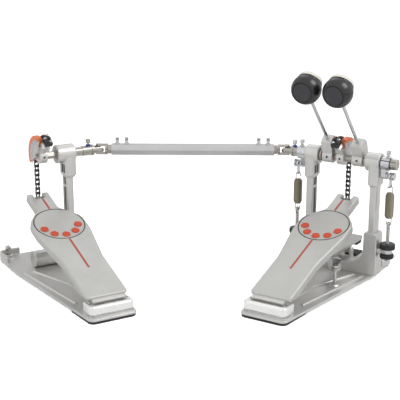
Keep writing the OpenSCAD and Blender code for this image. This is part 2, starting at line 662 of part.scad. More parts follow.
// Heel block: rounded block with ears for the hinge pin
block_half = base_heel_half - 2.5;
block_y0 = base_heel - 5;
block_y1 = heel_reach - 14;
ear_top = hinge_z + 5.5;
module heel_block() {
  color(cast) difference() {
    union() {
      translate([0, 0, plate_top]) linear_extrude(ear_top - plate_top - 3)
        round_box(-block_half, block_half, -block_y0, -block_y1, 7);
      translate([0, 0, plate_top]) linear_extrude(ear_top - plate_top - 1.2)
        round_box(-block_half + 1, block_half - 1, -block_y0 + 1, -block_y1 - 1, 6);
      translate([0, 0, plate_top]) linear_extrude(ear_top - plate_top)
        round_box(-block_half + 2.6, block_half - 2.6, -block_y0 + 2.6, -block_y1 - 2.6, 5);
    }
    block([-barrel_half - free_gap, -heel_reach - barrel_r - 4, hinge_z - barrel_r - 1.5],
          [barrel_half + free_gap, -block_y1 + 5, ear_top + 5]);
  }
  color(steel) translate([0, -heel_reach, hinge_z]) xcyl(-barrel_half - 3, barrel_half + 3, heel_pin_r);
}

// Post section, used for the posts and for their sockets
module post_plan(x) round_box(x - post_w / 2, x + post_w / 2, -post_d / 2, post_d / 2, 3);
housing_low = axle_z - tongue_drop;
post_x = housing_out - tongue_w / 2;
// The tongue's front runs down from the housing's round without a step
tongue_d = 2 * housing_r - 1;
slot_half = tongue_d / 2 - 6;
slot_t = (tongue_w - post_w) / 4;
// A bridge crosses the post's groove below the housing
bridge_z = 142;
bridge_h = 4;
module post(x, groove_side) color(cast) difference() {
  translate([0, 0, upright_z - socket_depth])
    linear_extrude(housing_low - upright_z + 2 * socket_depth) post_plan(x);
  for (span = [[upright_z - socket_depth - 1, bridge_z], [bridge_z + bridge_h, axle_z]])
    block([x + groove_side * post_w / 2 - groove_t, -groove_w / 2, span[0]],
          [x + groove_side * post_w / 2 + groove_t, groove_w / 2, span[1]]);
}

// Housing with its tongue, drawn for the right side of a cradle centred on x = 0
module housing(out, length, post_at) difference() {
  union() {
    at_axle() xcyl(out - length, out, housing_r);
    translate([0, 0, housing_low + 3]) linear_extrude(tongue_drop - 3)
      round_box(post_at - tongue_w / 2, out, -tongue_d / 2, tongue_d / 2, 5);
    translate([0, 0, housing_low]) linear_extrude(6)
      round_box(post_at - tongue_w / 2 + 2, out - 2, -tongue_d / 2 + 2, tongue_d / 2 - 2, 4);
  }
  translate([post_at - tongue_w / 2, 0, 0])
    block([-slot_t, -slot_half, housing_low + 6], [slot_t, slot_half, axle_z - housing_r - 1.5]);
  at_axle() xcyl(out - length - 1, out + 1, bearing_r - 2);
  at_axle() for (x = [out - length - 1, out - bearing_w]) xcyl(x, x + bearing_w + 1, bearing_r);
  translate([0, 0, housing_low - 1]) linear_extrude(socket_depth + 1) post_plan(post_at);
}
module bearings(out, length) at_axle() difference() {
  for (x = [out - length, out - bearing_w]) xcyl(x, x + bearing_w, bearing_r);
  xcyl(out - length - 1, out + 1, journal_r + running_gap);
}

// Right cradle: cross member, two uprights with post sockets, two ears for the springs
module right_cradle() color(cast) translate([cradle_x, 0, 0]) difference() {
  union() {
    out = post_x + upright_w / 2;
    yprism(-cradle_d / 2, cradle_d / 2) shape([
      [-out, plate_top, 0], [out, plate_top, 0], [out, upright_z, 5], [out - upright_w, upright_z, 4],
      [out - upright_w, cross_z, 26], [-out + upright_w, cross_z, 26],
      [-out + upright_w, upright_z, 4], [-out, upright_z, 5]]);
    for (s = [-1, 1]) mirror([s > 0 ? 0 : 1, 0, 0]) {
      block([out - 2, -7, ear_z], [spring_x, 7, ear_z + ear_t]);
      translate([spring_x, 0, ear_z]) cylinder(r = 9, h = ear_t);
    }
  }
  for (s = [-1, 1]) {
    translate([0, 0, upright_z - socket_depth]) linear_extrude(socket_depth + 1) post_plan(s * post_x);
    translate([s * spring_x, 0, ear_z - 1]) cylinder(r = eyebolt_r + running_gap, h = ear_t + 2);
  }
}

// Hoop clamp: ears and lower jaw on the base, lever, pad and screw
clamp_x0 = cradle_x - 4 - clamp_w / 2;
clamp_x1 = cradle_x - 4 + clamp_w / 2;
pivot_z = clamp_z - 5;
jaw_y0 = 52;
jaw_low = 16.5;
pad_t = 7;
clamp_ear_t = 4;
clamp_pin_r = 2.5;
seat_top = plate_top + rib_h + 0.2;
module clamp_base() color(cast) {
  for (x = [clamp_x0 - free_gap - clamp_ear_t, clamp_x1 + free_gap]) {
    block([x, clamp_pivot_y - 6, plate_top - 1], [x + clamp_ear_t, clamp_pivot_y + 6, pivot_z]);
    translate([0, clamp_pivot_y, pivot_z]) xcyl(x, x + clamp_ear_t, 6);
  }
  block([clamp_x0, jaw_y0, plate_top - 1], [clamp_x1, base_back, jaw_low - 4]);
  translate([clamp_screw_x, -clamp_screw_y, plate_top - 1])
    cylinder(r = screw_seat_r, h = seat_top - plate_top + 1);
}
module clamp_lower_pad() color(black)
  block([clamp_x0 + 1, jaw_y0 + 1, jaw_low - 4], [clamp_x1 - 1, base_back - 1, jaw_low]);
// Lever: a flat plate over the pivot, and a lower arm that runs out sideways to the screw
lever_back = -40;
arm_top = clamp_z + 0.5;
arm_low = clamp_z - 5;
arm_half = 7.5;
module clamp_lever() {
  color(chrome_col) difference() {
    union() {
      translate([0, 0, clamp_z]) linear_extrude(clamp_t)
        round_box(clamp_x0, clamp_x1, lever_back, base_back - 2, 5);
      block([clamp_x0, clamp_pivot_y - 5, pivot_z], [clamp_x1, clamp_pivot_y + 5, clamp_z + 1]);
      translate([0, clamp_pivot_y, pivot_z]) xcyl(clamp_x0, clamp_x1, 5);
      translate([0, 0, arm_low]) linear_extrude(arm_top - arm_low) shape([
        [clamp_screw_x - arm_half, -clamp_screw_y - arm_half, 7],
        [clamp_screw_x + arm_half, -clamp_screw_y - arm_half, 7],
        [clamp_screw_x + arm_half, -clamp_screw_y + arm_half, 7],
        [clamp_x1 - 1, lever_back + 15, 3], [clamp_x0 + 5, lever_back + 15, 3],
        [clamp_x0 + 5, lever_back + 3, 4]]);
    }
    translate([0, clamp_pivot_y, pivot_z]) xcyl(clamp_x0 - 1, clamp_x1 + 1, clamp_pin_r + running_gap);
    translate([clamp_screw_x, -clamp_screw_y, arm_low - 1])
      cylinder(r = clamp_screw_r + running_gap, h = arm_top - arm_low + 2);
  }
}
module clamp_pin() color(steel) translate([0, clamp_pivot_y, pivot_z])
  xcyl(clamp_x0 - free_gap - 1, clamp_x1 + free_gap + 1, clamp_pin_r);
module clamp_jaw_pad() color(black)
  block([clamp_x0 + 2, jaw_y0 + 4, clamp_z - pad_t], [clamp_x1 - 2, base_back - 5, clamp_z]);
// Wing screw: a stem whose tip stands over its seat, a round flange and a flat wing
screw_tip = seat_top + 0.5;
flange_z = arm_top + 0.5;
flange_t = 3;
module clamp_screw() color(chrome_col) translate([clamp_screw_x, -clamp_screw_y, 0]) {
  translate([0, 0, screw_tip]) cylinder(r = clamp_screw_r, h = flange_z + 1 - screw_tip);
  translate([0, 0, flange_z]) cylinder(r = 6.5, h = flange_t);
  translate([0, 0, flange_z + flange_t - 0.5]) yprism(-2.2, 2.2) shape([
    [-4, 0, 0], [4, 0, 0], [10, 9, 2], [9, 12.5, 1.5], [-6.5, 12.5, 1.5], [-5, 8, 2]]);
}

// Left pedal: one post on a round cross bar, with the housing and the yoke towards the shaft
left_out = 52;
left_length = 32;
left_post_x = left_out - 11;
module left_cross_bar() color(cast) difference() {
  union() {
    intersection() {
      translate([0, 0, plate_top + bar_r]) xcyl(-left_out - 2, 28, bar_r);
      block([-99, -99, plate_top], [99, 99, 99]);
    }
    yprism(-cradle_d / 2, cradle_d / 2) shape([
      [-left_post_x - upright_w / 2, plate_top, 0], [-left_post_x + upright_w / 2 + 14, plate_top, 0],
      [-left_post_x + upright_w / 2, cross_z + 6, 18], [-left_post_x + upright_w / 2, upright_z, 4],
      [-left_post_x - upright_w / 2, upright_z, 5]]);
  }
  translate([0, 0, upright_z - socket_depth]) linear_extrude(socket_depth + 1) post_plan(-left_post_x);
  translate([20, 0, plate_top + bar_r]) cylinder(r = 2, h = bar_r + 1);
}
spur_r = 3;
spur_x = base_back_half - corner_r - 2;
spur_y = base_back - corner_r - 2;
module spur_bosses() color(cast) for (s = [-1, 1]) translate([s * spur_x, spur_y, 0]) difference() {
  translate([0, 0, plate_top - 1]) cylinder(r = 8, h = 8);
  translate([0, 0, plate_top]) cylinder(r = spur_r + running_gap, h = 20);
}
module spurs() color(steel) for (s = [-1, 1]) translate([s * spur_x, spur_y, 0]) {
  translate([0, 0, plate_top]) cylinder(r = spur_r, h = 16);
  translate([0, 0, plate_top + 18]) sphere(r = 5);
  translate([0, 0, plate_top + 8]) cylinder(r = 4.6, h = 3);
}

// Universal joints: pin centre at -joint_reach in a pedal's frame, forks on both sides
fork_base = 11.5;
fork_ear_r = 5;
fork_in = 6;
fork_plate = 4;
cross_ball_r = 5.4;
// Fork on the +X side of the joint's centre; its ears lie on the Y axis
module fork(hole_r) difference() {
  union() {
    xcyl(fork_base, fork_base + fork_plate, fork_r);
    for (s = [-1, 1]) {
      intersection() {
        block([0, s > 0 ? fork_in : -fork_r, -fork_ear_r],
              [fork_base + 1, s > 0 ? fork_r : -fork_in, fork_ear_r]);
        xcyl(-10, fork_base + 2, fork_r);
      }
      intersection() {
        ycyl(s > 0 ? fork_in : -fork_r, s > 0 ? fork_r : -fork_in, fork_ear_r);
        xcyl(-10, fork_base + 2, fork_r);
      }
    }
  }
  ycyl(-fork_r - 1, fork_r + 1, hole_r);
}
module axle_fork() translate([-joint_reach, 0, axle_z]) fork(cross_pin_r + cross_play);
module shaft_fork() rotate([90, 0, 0]) fork(cross_pin_r + running_gap);
module cross_body() color(steel) {
  sphere(r = cross_ball_r);
  translate([0, 0, -fork_r + 0.6]) cylinder(r = cross_pin_r, h = 2 * fork_r - 1.2);
  ycyl(-fork_r + 0.8, fork_r - 0.8, cross_pin_r);
}

// Axles
main_left = collar_x0 - 5;
main_right = cradle_x + housing_out + 27;
slave_right = cradle_x - hub_mid + hub_w / 2 - 0.5;
fork_x = -joint_reach + fork_base;
module journal(out, length) xcyl(out - length - 1, out + 1, journal_r);
module main_axle() color(steel) at_axle() {
  xhex(main_left, main_right, axle_af);
  translate([cradle_x, 0, 0]) journal(housing_out, housing_l);
  xcyl(main_right - 10, main_right, 9);
  translate([cradle_x, 0, 0]) xcyl(housing_out - housing_l - 4, housing_out - housing_l - 1, 10);
}
yoke_key_x = fork_x + fork_plate;
yoke_key_z = 7.5;
module slave_axle() color(steel) difference() {
  union() {
    at_axle() {
      xhex(fork_x, slave_right, axle_af);
      translate([cradle_x, 0, 0]) mirror([1, 0, 0]) {
        journal(housing_out, housing_l);
        xcyl(housing_out - housing_l - 4, housing_out - housing_l - 1, 10);
      }
      xcyl(fork_x, cradle_x - housing_out - 17, 8.5);
    }
    axle_fork();
  }
  translate([yoke_key_x, 0, axle_z + yoke_key_z]) key_seat();
}
module left_axle() {
  color(steel) at_axle() {
    xhex(fork_x, collar_x1, axle_af);
    mirror([1, 0, 0]) journal(left_out, left_length);
    xcyl(fork_x, -left_out - 16, 8.5);
    xcyl(-left_out - 16.5, -left_out - 1.2, 7.6);
  }
  color(chrome_col) axle_fork();
  color(chrome_col) translate([-left_out - 28, 0, axle_z + 7.5]) key_bolt();
}
module rocker_key_bolt(s) cradle_side(s)
  translate([rocker_key_x, 0, axle_z + rocker_key_z]) key_bolt();
module main_key_bolts() color(chrome_col) rocker_key_bolt(1);
module slave_key_bolts() color(chrome_col) {
  rocker_key_bolt(-1);
  translate([yoke_key_x, 0, axle_z + yoke_key_z]) key_bolt();
}

// Drive shaft, drawn about the X axis between the two joints' centres
tube_end = shaft_half - tube_gap;
module on_shaft() shaft_frame() translate([0, 0, axle_z]) children();
module drive_tube() color(cast) on_shaft() difference() {
  xhex(-tube_end, tube_end, tube_af);
  xhex(-tube_end - 1, tube_end + 1, rod_af + 2 * running_gap);
  for (s = [-1, 1]) translate([-tube_end - 1, s * tube_af / 2 / cos(30), 0])
    rotate([45, 0, 0]) cube([2 * tube_end + 2, 1.6, 1.6]);
}
module drive_rod() color(steel) on_shaft() {
  xhex(tube_end - rod_insert, shaft_half - fork_base - 5, rod_af);
  xcyl(shaft_half - fork_base - 5.5, shaft_half - fork_base - 1, 5);
  translate([shaft_half, 0, 0]) mirror([1, 0, 0]) shaft_fork();
}
tube_bolts = [10, 26];
module drive_key_bolts() color(chrome_col) on_shaft()
  for (s = [-1, 1]) for (x = tube_bolts)
    translate([s * (tube_end - x), 0, tube_af / 2]) key_bolt();
module joint_cross() on_shaft() translate([shaft_half, 0, 0]) rotate([0, 0, -fan_angle]) cross_body();

module right_base_plate() right_pedal() {
  base_plate(cradle_x);
  clamp_base();
  clamp_pin();
}
module right_base_pads() right_pedal() {
  base_pads(cradle_x);
  clamp_lower_pad();
}
module left_base_plate() left_pedal() {
  base_plate(0);
  spur_bosses();
}
main_hub_x = cradle_x + hub_mid;
slave_hub_x = cradle_x - hub_mid;

right_base_plate();
right_base_pads();
right_pedal() heel_block();  // right_heel_block
right_pedal() right_cradle();
right_pedal() translate([cradle_x, 0, 0]) {  // right_posts
  post(post_x, -1);
  post(-post_x, 1);
}
color(cast) right_pedal()  // right_housings
  for (s = [-1, 1]) cradle_side(s) housing(housing_out, housing_l, post_x);
color(steel) right_pedal()  // right_bearings
  for (s = [-1, 1]) cradle_side(s) bearings(housing_out, housing_l);
right_pedal() spring_nuts();  // right_spring_nuts
right_pedal() clamp_lever();
right_pedal() clamp_jaw_pad();
right_pedal() clamp_screw();
right_pedal() eye_bolt(1);  // main_eye_bolt
right_pedal() eye_bolt(-1);  // slave_eye_bolt
right_pedal() spring(1);  // main_spring
right_pedal() spring(-1);  // slave_spring
right_pedal() spring_link(1);  // main_spring_link
right_pedal() spring_link(-1);  // slave_spring_link
right_pedal() main_axle();
right_pedal() cam_hub();  // right_cam_hub
right_pedal() cam_insert();  // right_cam_insert
right_pedal() chain_wrap();  // right_chain_wrap
right_pedal() beater_hub(main_hub_x);  // main_beater_hub
right_pedal() beater_rod(main_hub_x);  // main_beater_rod
right_pedal() beater_head(main_hub_x);  // main_beater_head
right_pedal() beater_felt(main_hub_x);  // main_beater_felt
right_pedal() rocker(1);  // main_rocker
right_pedal() main_key_bolts();
right_pedal() footboard();  // right_footboard
right_pedal() foot_inlays();  // right_foot_inlays
right_pedal() toe_pin();  // right_toe_pin
right_pedal() chain_run();  // right_chain_run
right_pedal() slave_axle();
right_pedal() beater_hub(slave_hub_x);  // slave_beater_hub
right_pedal() beater_rod(slave_hub_x);  // slave_beater_rod
right_pedal() beater_head(slave_hub_x);  // slave_beater_head
right_pedal() beater_felt(slave_hub_x);  // slave_beater_felt
right_pedal() rocker(-1);  // slave_rocker
right_pedal() slave_key_bolts();
joint_cross();  // right_cross
shaft_frame() mirror([1, 0, 0])  // left_cross
  translate([shift_x, shift_y, 0]) joint_cross();
drive_tube();
drive_rod();  // drive_rod_right
shaft_frame() mirror([1, 0, 0])  // drive_rod_left
  translate([shift_x, shift_y, 0]) drive_rod();
drive_key_bolts();
left_base_plate();
left_pedal() base_pads(0);  // left_base_pads
left_pedal() heel_block();  // left_heel_block
left_pedal() left_cross_bar();
left_pedal() post(-left_post_x, 1);  // left_post
color(cast) left_pedal() mirror([1, 0, 0])  // left_housing
  housing(left_out, left_length, left_post_x);
color(steel) left_pedal() mirror([1, 0, 0])  // left_bearings
  bearings(left_out, left_length);
left_pedal() spurs();  // left_spurs
left_pedal() left_axle();
left_pedal() cam_hub();  // left_cam_hub
left_pedal() cam_insert();  // left_cam_insert
left_pedal() chain_wrap();  // left_chain_wrap
left_pedal() footboard();  // left_footboard
left_pedal() foot_inlays();  // left_foot_inlays
left_pedal() toe_pin();  // left_toe_pin
left_pedal() chain_run();  // left_chain_run
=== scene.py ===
"""Dresses the double bass drum pedal: castings, drawn metal, chains, springs, rubber and felt."""

from __future__ import annotations

import json
import logging
import math
from collections.abc import Callable
from dataclasses import dataclass
from enum import Enum
from typing import Any

import bmesh
import bpy
import numpy as np
from mathutils.geometry import tessellate_polygon
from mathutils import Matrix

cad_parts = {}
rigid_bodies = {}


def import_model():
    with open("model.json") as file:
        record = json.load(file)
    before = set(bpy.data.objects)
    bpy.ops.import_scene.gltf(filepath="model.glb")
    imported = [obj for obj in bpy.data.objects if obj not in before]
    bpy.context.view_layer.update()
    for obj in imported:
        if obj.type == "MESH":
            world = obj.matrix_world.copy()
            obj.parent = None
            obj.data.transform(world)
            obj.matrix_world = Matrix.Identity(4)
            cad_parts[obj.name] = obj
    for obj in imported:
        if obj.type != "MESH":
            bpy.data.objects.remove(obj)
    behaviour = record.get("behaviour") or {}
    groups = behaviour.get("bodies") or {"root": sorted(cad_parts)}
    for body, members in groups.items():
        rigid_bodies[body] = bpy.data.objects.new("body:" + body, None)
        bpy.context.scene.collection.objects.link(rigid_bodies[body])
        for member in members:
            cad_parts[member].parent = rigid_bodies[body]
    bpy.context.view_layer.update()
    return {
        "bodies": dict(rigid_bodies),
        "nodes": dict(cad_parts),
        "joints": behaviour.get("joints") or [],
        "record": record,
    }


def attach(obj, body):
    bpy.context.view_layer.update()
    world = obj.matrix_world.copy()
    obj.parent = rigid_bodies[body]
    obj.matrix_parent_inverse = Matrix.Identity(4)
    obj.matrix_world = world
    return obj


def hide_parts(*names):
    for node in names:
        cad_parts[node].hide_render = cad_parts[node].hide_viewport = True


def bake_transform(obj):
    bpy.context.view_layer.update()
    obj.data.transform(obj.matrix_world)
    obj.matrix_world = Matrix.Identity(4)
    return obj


LOG = logging.getLogger("drum_pedal")
Array = np.ndarray
Colour = tuple[float, float, float]
Corner = tuple[float, float, float]
Levels = list[tuple[float, float]]
# Metres in a millimetre, and the distance in metres below which points are one
MM = 0.001
MERGED = 2e-6
TAU = 2 * math.pi


class Sided(Enum):
    """Base of the two choices below, whose members' names are words in the nodes' names."""

    @property
    def word(self) -> str:
        """The member's name as the nodes use it."""
        return self.name.lower()


class Side(Sided):
    """The two pedals, and the sign of their outward direction along X."""

    RIGHT = 1
    LEFT = -1


class Voice(Sided):
    """The two beaters, and the sign of their place beside the cradle's centre."""

    MAIN = 1
    SLAVE = -1


# ---------------------------------------------------------------- geometry


class Placement:
    """Turns millimetres in a local frame into metres in the world."""

    def __init__(self, turn: Array, shift: Array) -> None:
        """Keeps the matrix and the offset.

        Args:
            turn: The 3 by 3 matrix whose columns are the local axes.
            shift: The local origin in millimetres.
        """
        self.turn, self.shift = np.asarray(turn, float), np.asarray(shift, float)

    def world(self, points: Array) -> Array:
        """Maps points of shape (..., 3): turned, shifted and scaled to metres."""
        return (np.asarray(points, float) @ self.turn.T + self.shift) * MM

    def at(self, shift: tuple[float, float, float], turn: Array | None = None) -> Placement:
        """Makes a placement inside this one.

        Args:
            shift: The new origin in this frame's millimetres.
            turn: The new axes as columns, in this frame.

        Returns:
            The nested placement.
        """
        inner = np.eye(3) if turn is None else turn
        return Placement(self.turn @ inner, self.turn @ np.asarray(shift, float) + self.shift)


# Local Z along the outer X, and along the outer Y
ALONG_X = np.array([[0, 0, 1], [1, 0, 0], [0, 1, 0]], float)
ALONG_Y = np.array([[1, 0, 0], [0, 0, 1], [0, -1, 0]], float)


def pitch(angle: float) -> Array:
    """Matrix that turns about the X axis by an angle in degrees."""
    c, s = math.cos(math.radians(angle)), math.sin(math.radians(angle))
    return np.array([[1, 0, 0], [0, c, -s], [0, s, c]])


def smooth_step(t: Array) -> Array:
    """Eases from 0 to 1 as 3 t^2 - 2 t^3, with t held between 0 and 1."""
    t = np.clip(t, 0, 1)
    return t * t * (3 - 2 * t)


def inset(points: Array, depth: float) -> Array:
    """Moves each side of a counter-clockwise outline inwards, keeping its corners mitred.

    A corner moves by depth (n1 + n2) / (1 + n1 . n2), with n1 and n2 its sides' inward normals.

    Args:
        points: Corners of shape (n, 2).
        depth: How far.

    Returns:
        The moved corners.
    """
    d = np.roll(points, -1, axis=0) - points
    d /= np.linalg.norm(d, axis=1, keepdims=True)
    after = np.stack([-d[:, 1], d[:, 0]], axis=1)
    before = np.roll(after, 1, axis=0)
    return points + depth * (after + before) / (1 + (after * before).sum(1, keepdims=True))


def rounded(corners: list[Corner], depth: float = 0.0, count: int = 6, between: int = 1) -> Array:
    """Outline through corners, each cut by an arc that touches both of its sides.

    The arc's centre lies on the bisector, radius / sin(half the corner's angle) from the corner. An
    outline drawn in by a depth has its outer arcs smaller by that depth and its inner ones larger.

    Args:
        corners: Corner points with their radius, counter-clockwise.
        depth: How far the outline is drawn in.
        count: Points on each arc.
        between: Points on each straight side.

    Returns:
        The outline, of shape (n, 2), with the same number of points for every depth.
    """
    c = np.array(corners, float)
    p = c[:, :2]
    u, v = np.roll(p, 1, axis=0) - p, np.roll(p, -1, axis=0) - p
    outer = (v[:, 0] * u[:, 1] - v[:, 1] * u[:, 0]) > 0
    u /= np.linalg.norm(u, axis=1, keepdims=True)
    v /= np.linalg.norm(v, axis=1, keepdims=True)
    half = np.arccos(np.clip((u * v).sum(1), -1, 1)) / 2
    r = np.where(outer, np.maximum(c[:, 2] - depth, 0), c[:, 2] + depth)
    p = inset(p, depth)
    mid = u + v
    mid /= np.linalg.norm(mid, axis=1, keepdims=True)
    centre = p + mid * (r / np.sin(half))[:, None]
    start = np.where(outer, -1, 1) * (math.pi / 2 - half)
    t = np.linspace(0, 1, count)[None]
    back = np.arctan2(-mid[:, 1], -mid[:, 0])
    a = back[:, None] + start[:, None] * (1 - 2 * t)
    arcs = centre[:, None] + r[:, None, None] * np.stack([np.cos(a), np.sin(a)], axis=2)
    k = np.linspace(0, 1, between + 2)[1:-1][None, :, None]
    sides = arcs[:, -1:] * (1 - k) + np.roll(arcs, -1, axis=0)[:, :1] * k
    return np.concatenate([arcs, sides], axis=1).reshape(-1, 2)


def slab(corners: list[Corner], levels: Levels, count: int = 6) -> Array:
    """Stack of one outline: the ring at each level is the outline drawn in by that level's inset.

    Args:
        corners: Corner points with their radius.
        levels: Pairs of height and inset.
        count: Points on each arc.

    Returns:
        A grid of shape (levels, n, 3).
    """
    rings = [rounded(corners, i, count) for _, i in levels]
    return np.stack([np.column_stack([ring, np.full(len(ring), h)]) for ring, (h, _) in zip(rings, levels)])


def soft_levels(low: float, high: float, edge: float, foot: float = 0.3, steps: int = 5) -> Levels:
    """Levels of a slab with rounded rims: inset edge (1 - cos a) where it has risen edge sin a.

    Args:
        low: Bottom of the slab.
        high: Top of the slab.
        edge: Radius of the upper rim.
        foot: Radius of the lower rim.
        steps: Levels on each rim.

    Returns:
        Pairs of height and inset, with one more ring just inside each rim to keep the faces flat.
    """
    a = np.linspace(0, math.pi / 2, steps)
    top = [(high - edge * (1 - math.sin(t)), edge * (1 - math.cos(t))) for t in a]
    bottom = [(low + foot * (1 - math.sin(t)), foot * (1 - math.cos(t))) for t in a[::-1]]
    return [(low, foot + 0.4), *bottom, *top, (high, edge + 0.4)]


def box_corners(x0: float, x1: float, y0: float, y1: float, r: float) -> list[Corner]:
    """Corners of a rectangle with one radius, counter-clockwise."""
    return [(x0, y0, r), (x1, y0, r), (x1, y1, r), (x0, y1, r)]


def turned(profile: Any, count: int = 48) -> Array:
    """Surface of revolution: (r cos a, r sin a, h) for each profile point (r, h) and angle a.

    Args:
        profile: Points of shape (k, 2).
        count: Points round the axis.

    Returns:
        A grid of shape (k, count, 3).
    """
    p = np.asarray(profile, float)
    a = np.linspace(0, TAU, count, endpoint=False)[None]
    r, h = p[:, 0:1], p[:, 1:2]
    return np.stack([r * np.cos(a), r * np.sin(a), np.broadcast_to(h, (len(r), count))], axis=2)


def part_turned(profile: Any, start: float, end: float, count: int = 40) -> Array:
    """Closed profile (r, h) carried about the axis from one angle to another.

    Args:
        profile: Points of shape (k, 2).
        start: First angle in degrees.
        end: Last angle.
        count: Number of rows.

    Returns:
        A grid of shape (count, k, 3) whose rows are copies of the profile.
    """
    p = np.asarray(profile, float)
    a = np.radians(np.linspace(start, end, count))[:, None]
    r, h = p[None, :, 0], p[None, :, 1]
    return np.stack([r * np.cos(a), r * np.sin(a), np.broadcast_to(h, (count, len(p)))], axis=2)


def bar(radius: float, low: float, high: float, edge: float = 0.4) -> Levels:
    """Profile of a round bar with chamfered ends, closed at the axis."""
    lower = [(0, low), (radius - edge, low), (radius, low + edge)]
    return lower + [(r, low + high - h) for r, h in lower[::-1]]


def arc(radius: float, start: float, end: float, count: int) -> Array:
    """Points (r cos a, r sin a) at even steps between two angles in degrees."""
    a = np.radians(np.linspace(start, end, count))
    return radius * np.stack([np.cos(a), np.sin(a)], 1)


def dented(grid: Array, dent: Callable[[Array, Array, Array], Array]) -> Array:
    """Moves each point of a turned grid towards its axis by dent(angle, radius, height).

    Args:
        grid: Shape (rows, columns, 3), changed in place.
        dent: Depth at each point in millimetres; negative values push out.

    Returns:
        The grid.
    """
    radius = np.hypot(grid[..., 0], grid[..., 1])
    depth = dent(np.arctan2(grid[..., 1], grid[..., 0]), radius, grid[..., 2])
    grid[..., :2] *= (1 - depth / np.maximum(radius, 1e-9))[..., None]
    return grid


def swept(path: Array, side: Array, radius: float, count: int = 12) -> Array:
    """Round tube: each ring is path + radius (n cos a + b sin a).

    n is the side vector with its part along the path taken out, and b is the path's direction x n.

    Args:
        path: Points of shape (k, 3).
        side: A vector across the path at each point, or one for all.
        radius: The tube's radius.
        count: Points round the tube.

    Returns:
        A grid of shape (k, count, 3).
    """
    t = np.gradient(path, axis=0)
    t /= np.linalg.norm(t, axis=1, keepdims=True)
    side = np.broadcast_to(side, path.shape)
    n = side - (side * t).sum(1, keepdims=True) * t
    n /= np.linalg.norm(n, axis=1, keepdims=True)
    b = np.cross(t, n)
    a = np.linspace(0, TAU, count, endpoint=False)[None, :, None]
    return path[:, None] + radius * (n[:, None] * np.cos(a) + b[:, None] * np.sin(a))


def linked(name: str, data: bpy.types.ID) -> bpy.types.Object:
    """Makes an object and puts it in the scene.

    Args:
        name: Its name.
        data: Its mesh, camera or lamp.

    Returns:
        The object.
    """
    obj = bpy.data.objects.new(name, data)
    bpy.context.collection.objects.link(obj)
    return obj


def shade(mesh: bpy.types.Mesh) -> None:
    """Gives every face of a mesh smooth shading."""
    mesh.polygons.foreach_set("use_smooth", [True] * len(mesh.polygons))


class Shell:
    """Collects grid surfaces and makes one mesh of them."""

    def __init__(self, name: str, place: Placement) -> None:
        """Starts an empty shell.

        Args:
            name: The piece's name.
            place: The frame that its grids are given in.
        """
        self.name, self.place = name, place
        self.points: list[Array] = []
        self.faces: list[list[int]] = []
        self.marks: list[int] = []
        self.count = 0

    def add(
        self, points: Array, faces: list[list[int]], marks: list[int], place: Placement | None = None
    ) -> None:
        """Adds points and the faces between them.

        Args:
            points: Shape (..., 3), in the local frame.
            faces: Numbers of the points round each face.
            marks: Number of each face's finish.
            place: Another frame than the shell's own.
        """
        self.faces += [[self.count + i for i in face] for face in faces]
        self.marks += marks
        self.points.append((place or self.place).world(points).reshape(-1, 3))
        self.count += len(self.points[-1])

    def grid(
        self, points: Array, *, caps: bool = True, mark: int | Array = 0, place: Placement | None = None
    ) -> None:
        """Adds a surface on a grid of rows and columns whose columns close on themselves.

        Args:
            points: Shape (rows, columns, 3).
            caps: The first and last row are filled.
            mark: Number of the finish, one or one for each strip between rows.
            place: Another frame than the shell's own.
        """
        rows, cols = points.shape[:2]
        i, j = np.meshgrid(np.arange(rows - 1), np.arange(cols), indexing="ij")
        k = (j + 1) % cols
        quads = np.stack([i * cols + j, i * cols + k, (i + 1) * cols + k, (i + 1) * cols + j], axis=-1)
        marks = np.broadcast_to(np.reshape(mark, (-1, 1)), quads.shape[:2]).reshape(-1).tolist()
        faces = quads.reshape(-1, 4).tolist()
        if caps:
            faces += [np.arange(cols)[::-1].tolist(), ((rows - 1) * cols + np.arange(cols)).tolist()]
            marks += [marks[0], marks[-1]]
        self.add(points, faces, marks, place)

    def rod(
        self, radius: float, low: float, high: float, edge: float = 0.4, count: int = 28, mark: int = 0,
        place: Placement | None = None,
    ) -> None:
        """Adds a round bar with chamfered ends along local Z.

        Args:
            radius: The bar's radius.
            low: Where it starts.
            high: Where it ends.
            edge: Width of the chamfers.
            count: Points round it.
            mark: Number of its finish.
            place: Another frame than the shell's own.
        """
        self.grid(turned(bar(radius, low, high, edge), count), mark=mark, place=place)

    def fill(self, loops: list[Array], height: float) -> None:
        """Fills a flat region between outlines.

        Args:
            loops: The outer outline and its holes, of shape (n, 2).
            height: Where the face lies.
        """
        solid = [[(x, y, 0.0) for x, y in loop.tolist()] for loop in loops]
        faces = [list(face) for face in tessellate_polygon(solid)]
        flat = np.concatenate(loops)
        self.add(np.column_stack([flat, np.full(len(flat), height)]), faces, [0] * len(faces))

    def mesh(self, smooth: float = 35.0) -> bpy.types.Mesh:
        """Makes the mesh, with doubles merged, faces pointing out and sharp edges marked.

        Args:
            smooth: Faces that meet at less than this angle shade as one.

        Returns:
            The mesh.
        """
        mesh = bpy.data.meshes.new(self.name)
        mesh.from_pydata(np.concatenate(self.points).tolist(), [], self.faces)
        mesh.polygons.foreach_set("material_index", self.marks)
        work = bmesh.new()
        work.from_mesh(mesh)
        bmesh.ops.remove_doubles(work, verts=work.verts, dist=MERGED)
        bmesh.ops.dissolve_degenerate(work, edges=work.edges, dist=MERGED / 2)
        bmesh.ops.recalc_face_normals(work, faces=work.faces)
        work.to_mesh(mesh)
        work.free()
        shade(mesh)
        mesh.set_sharp_from_angle(angle=math.radians(smooth))
        return mesh


# ---------------------------------------------------------------- finishes


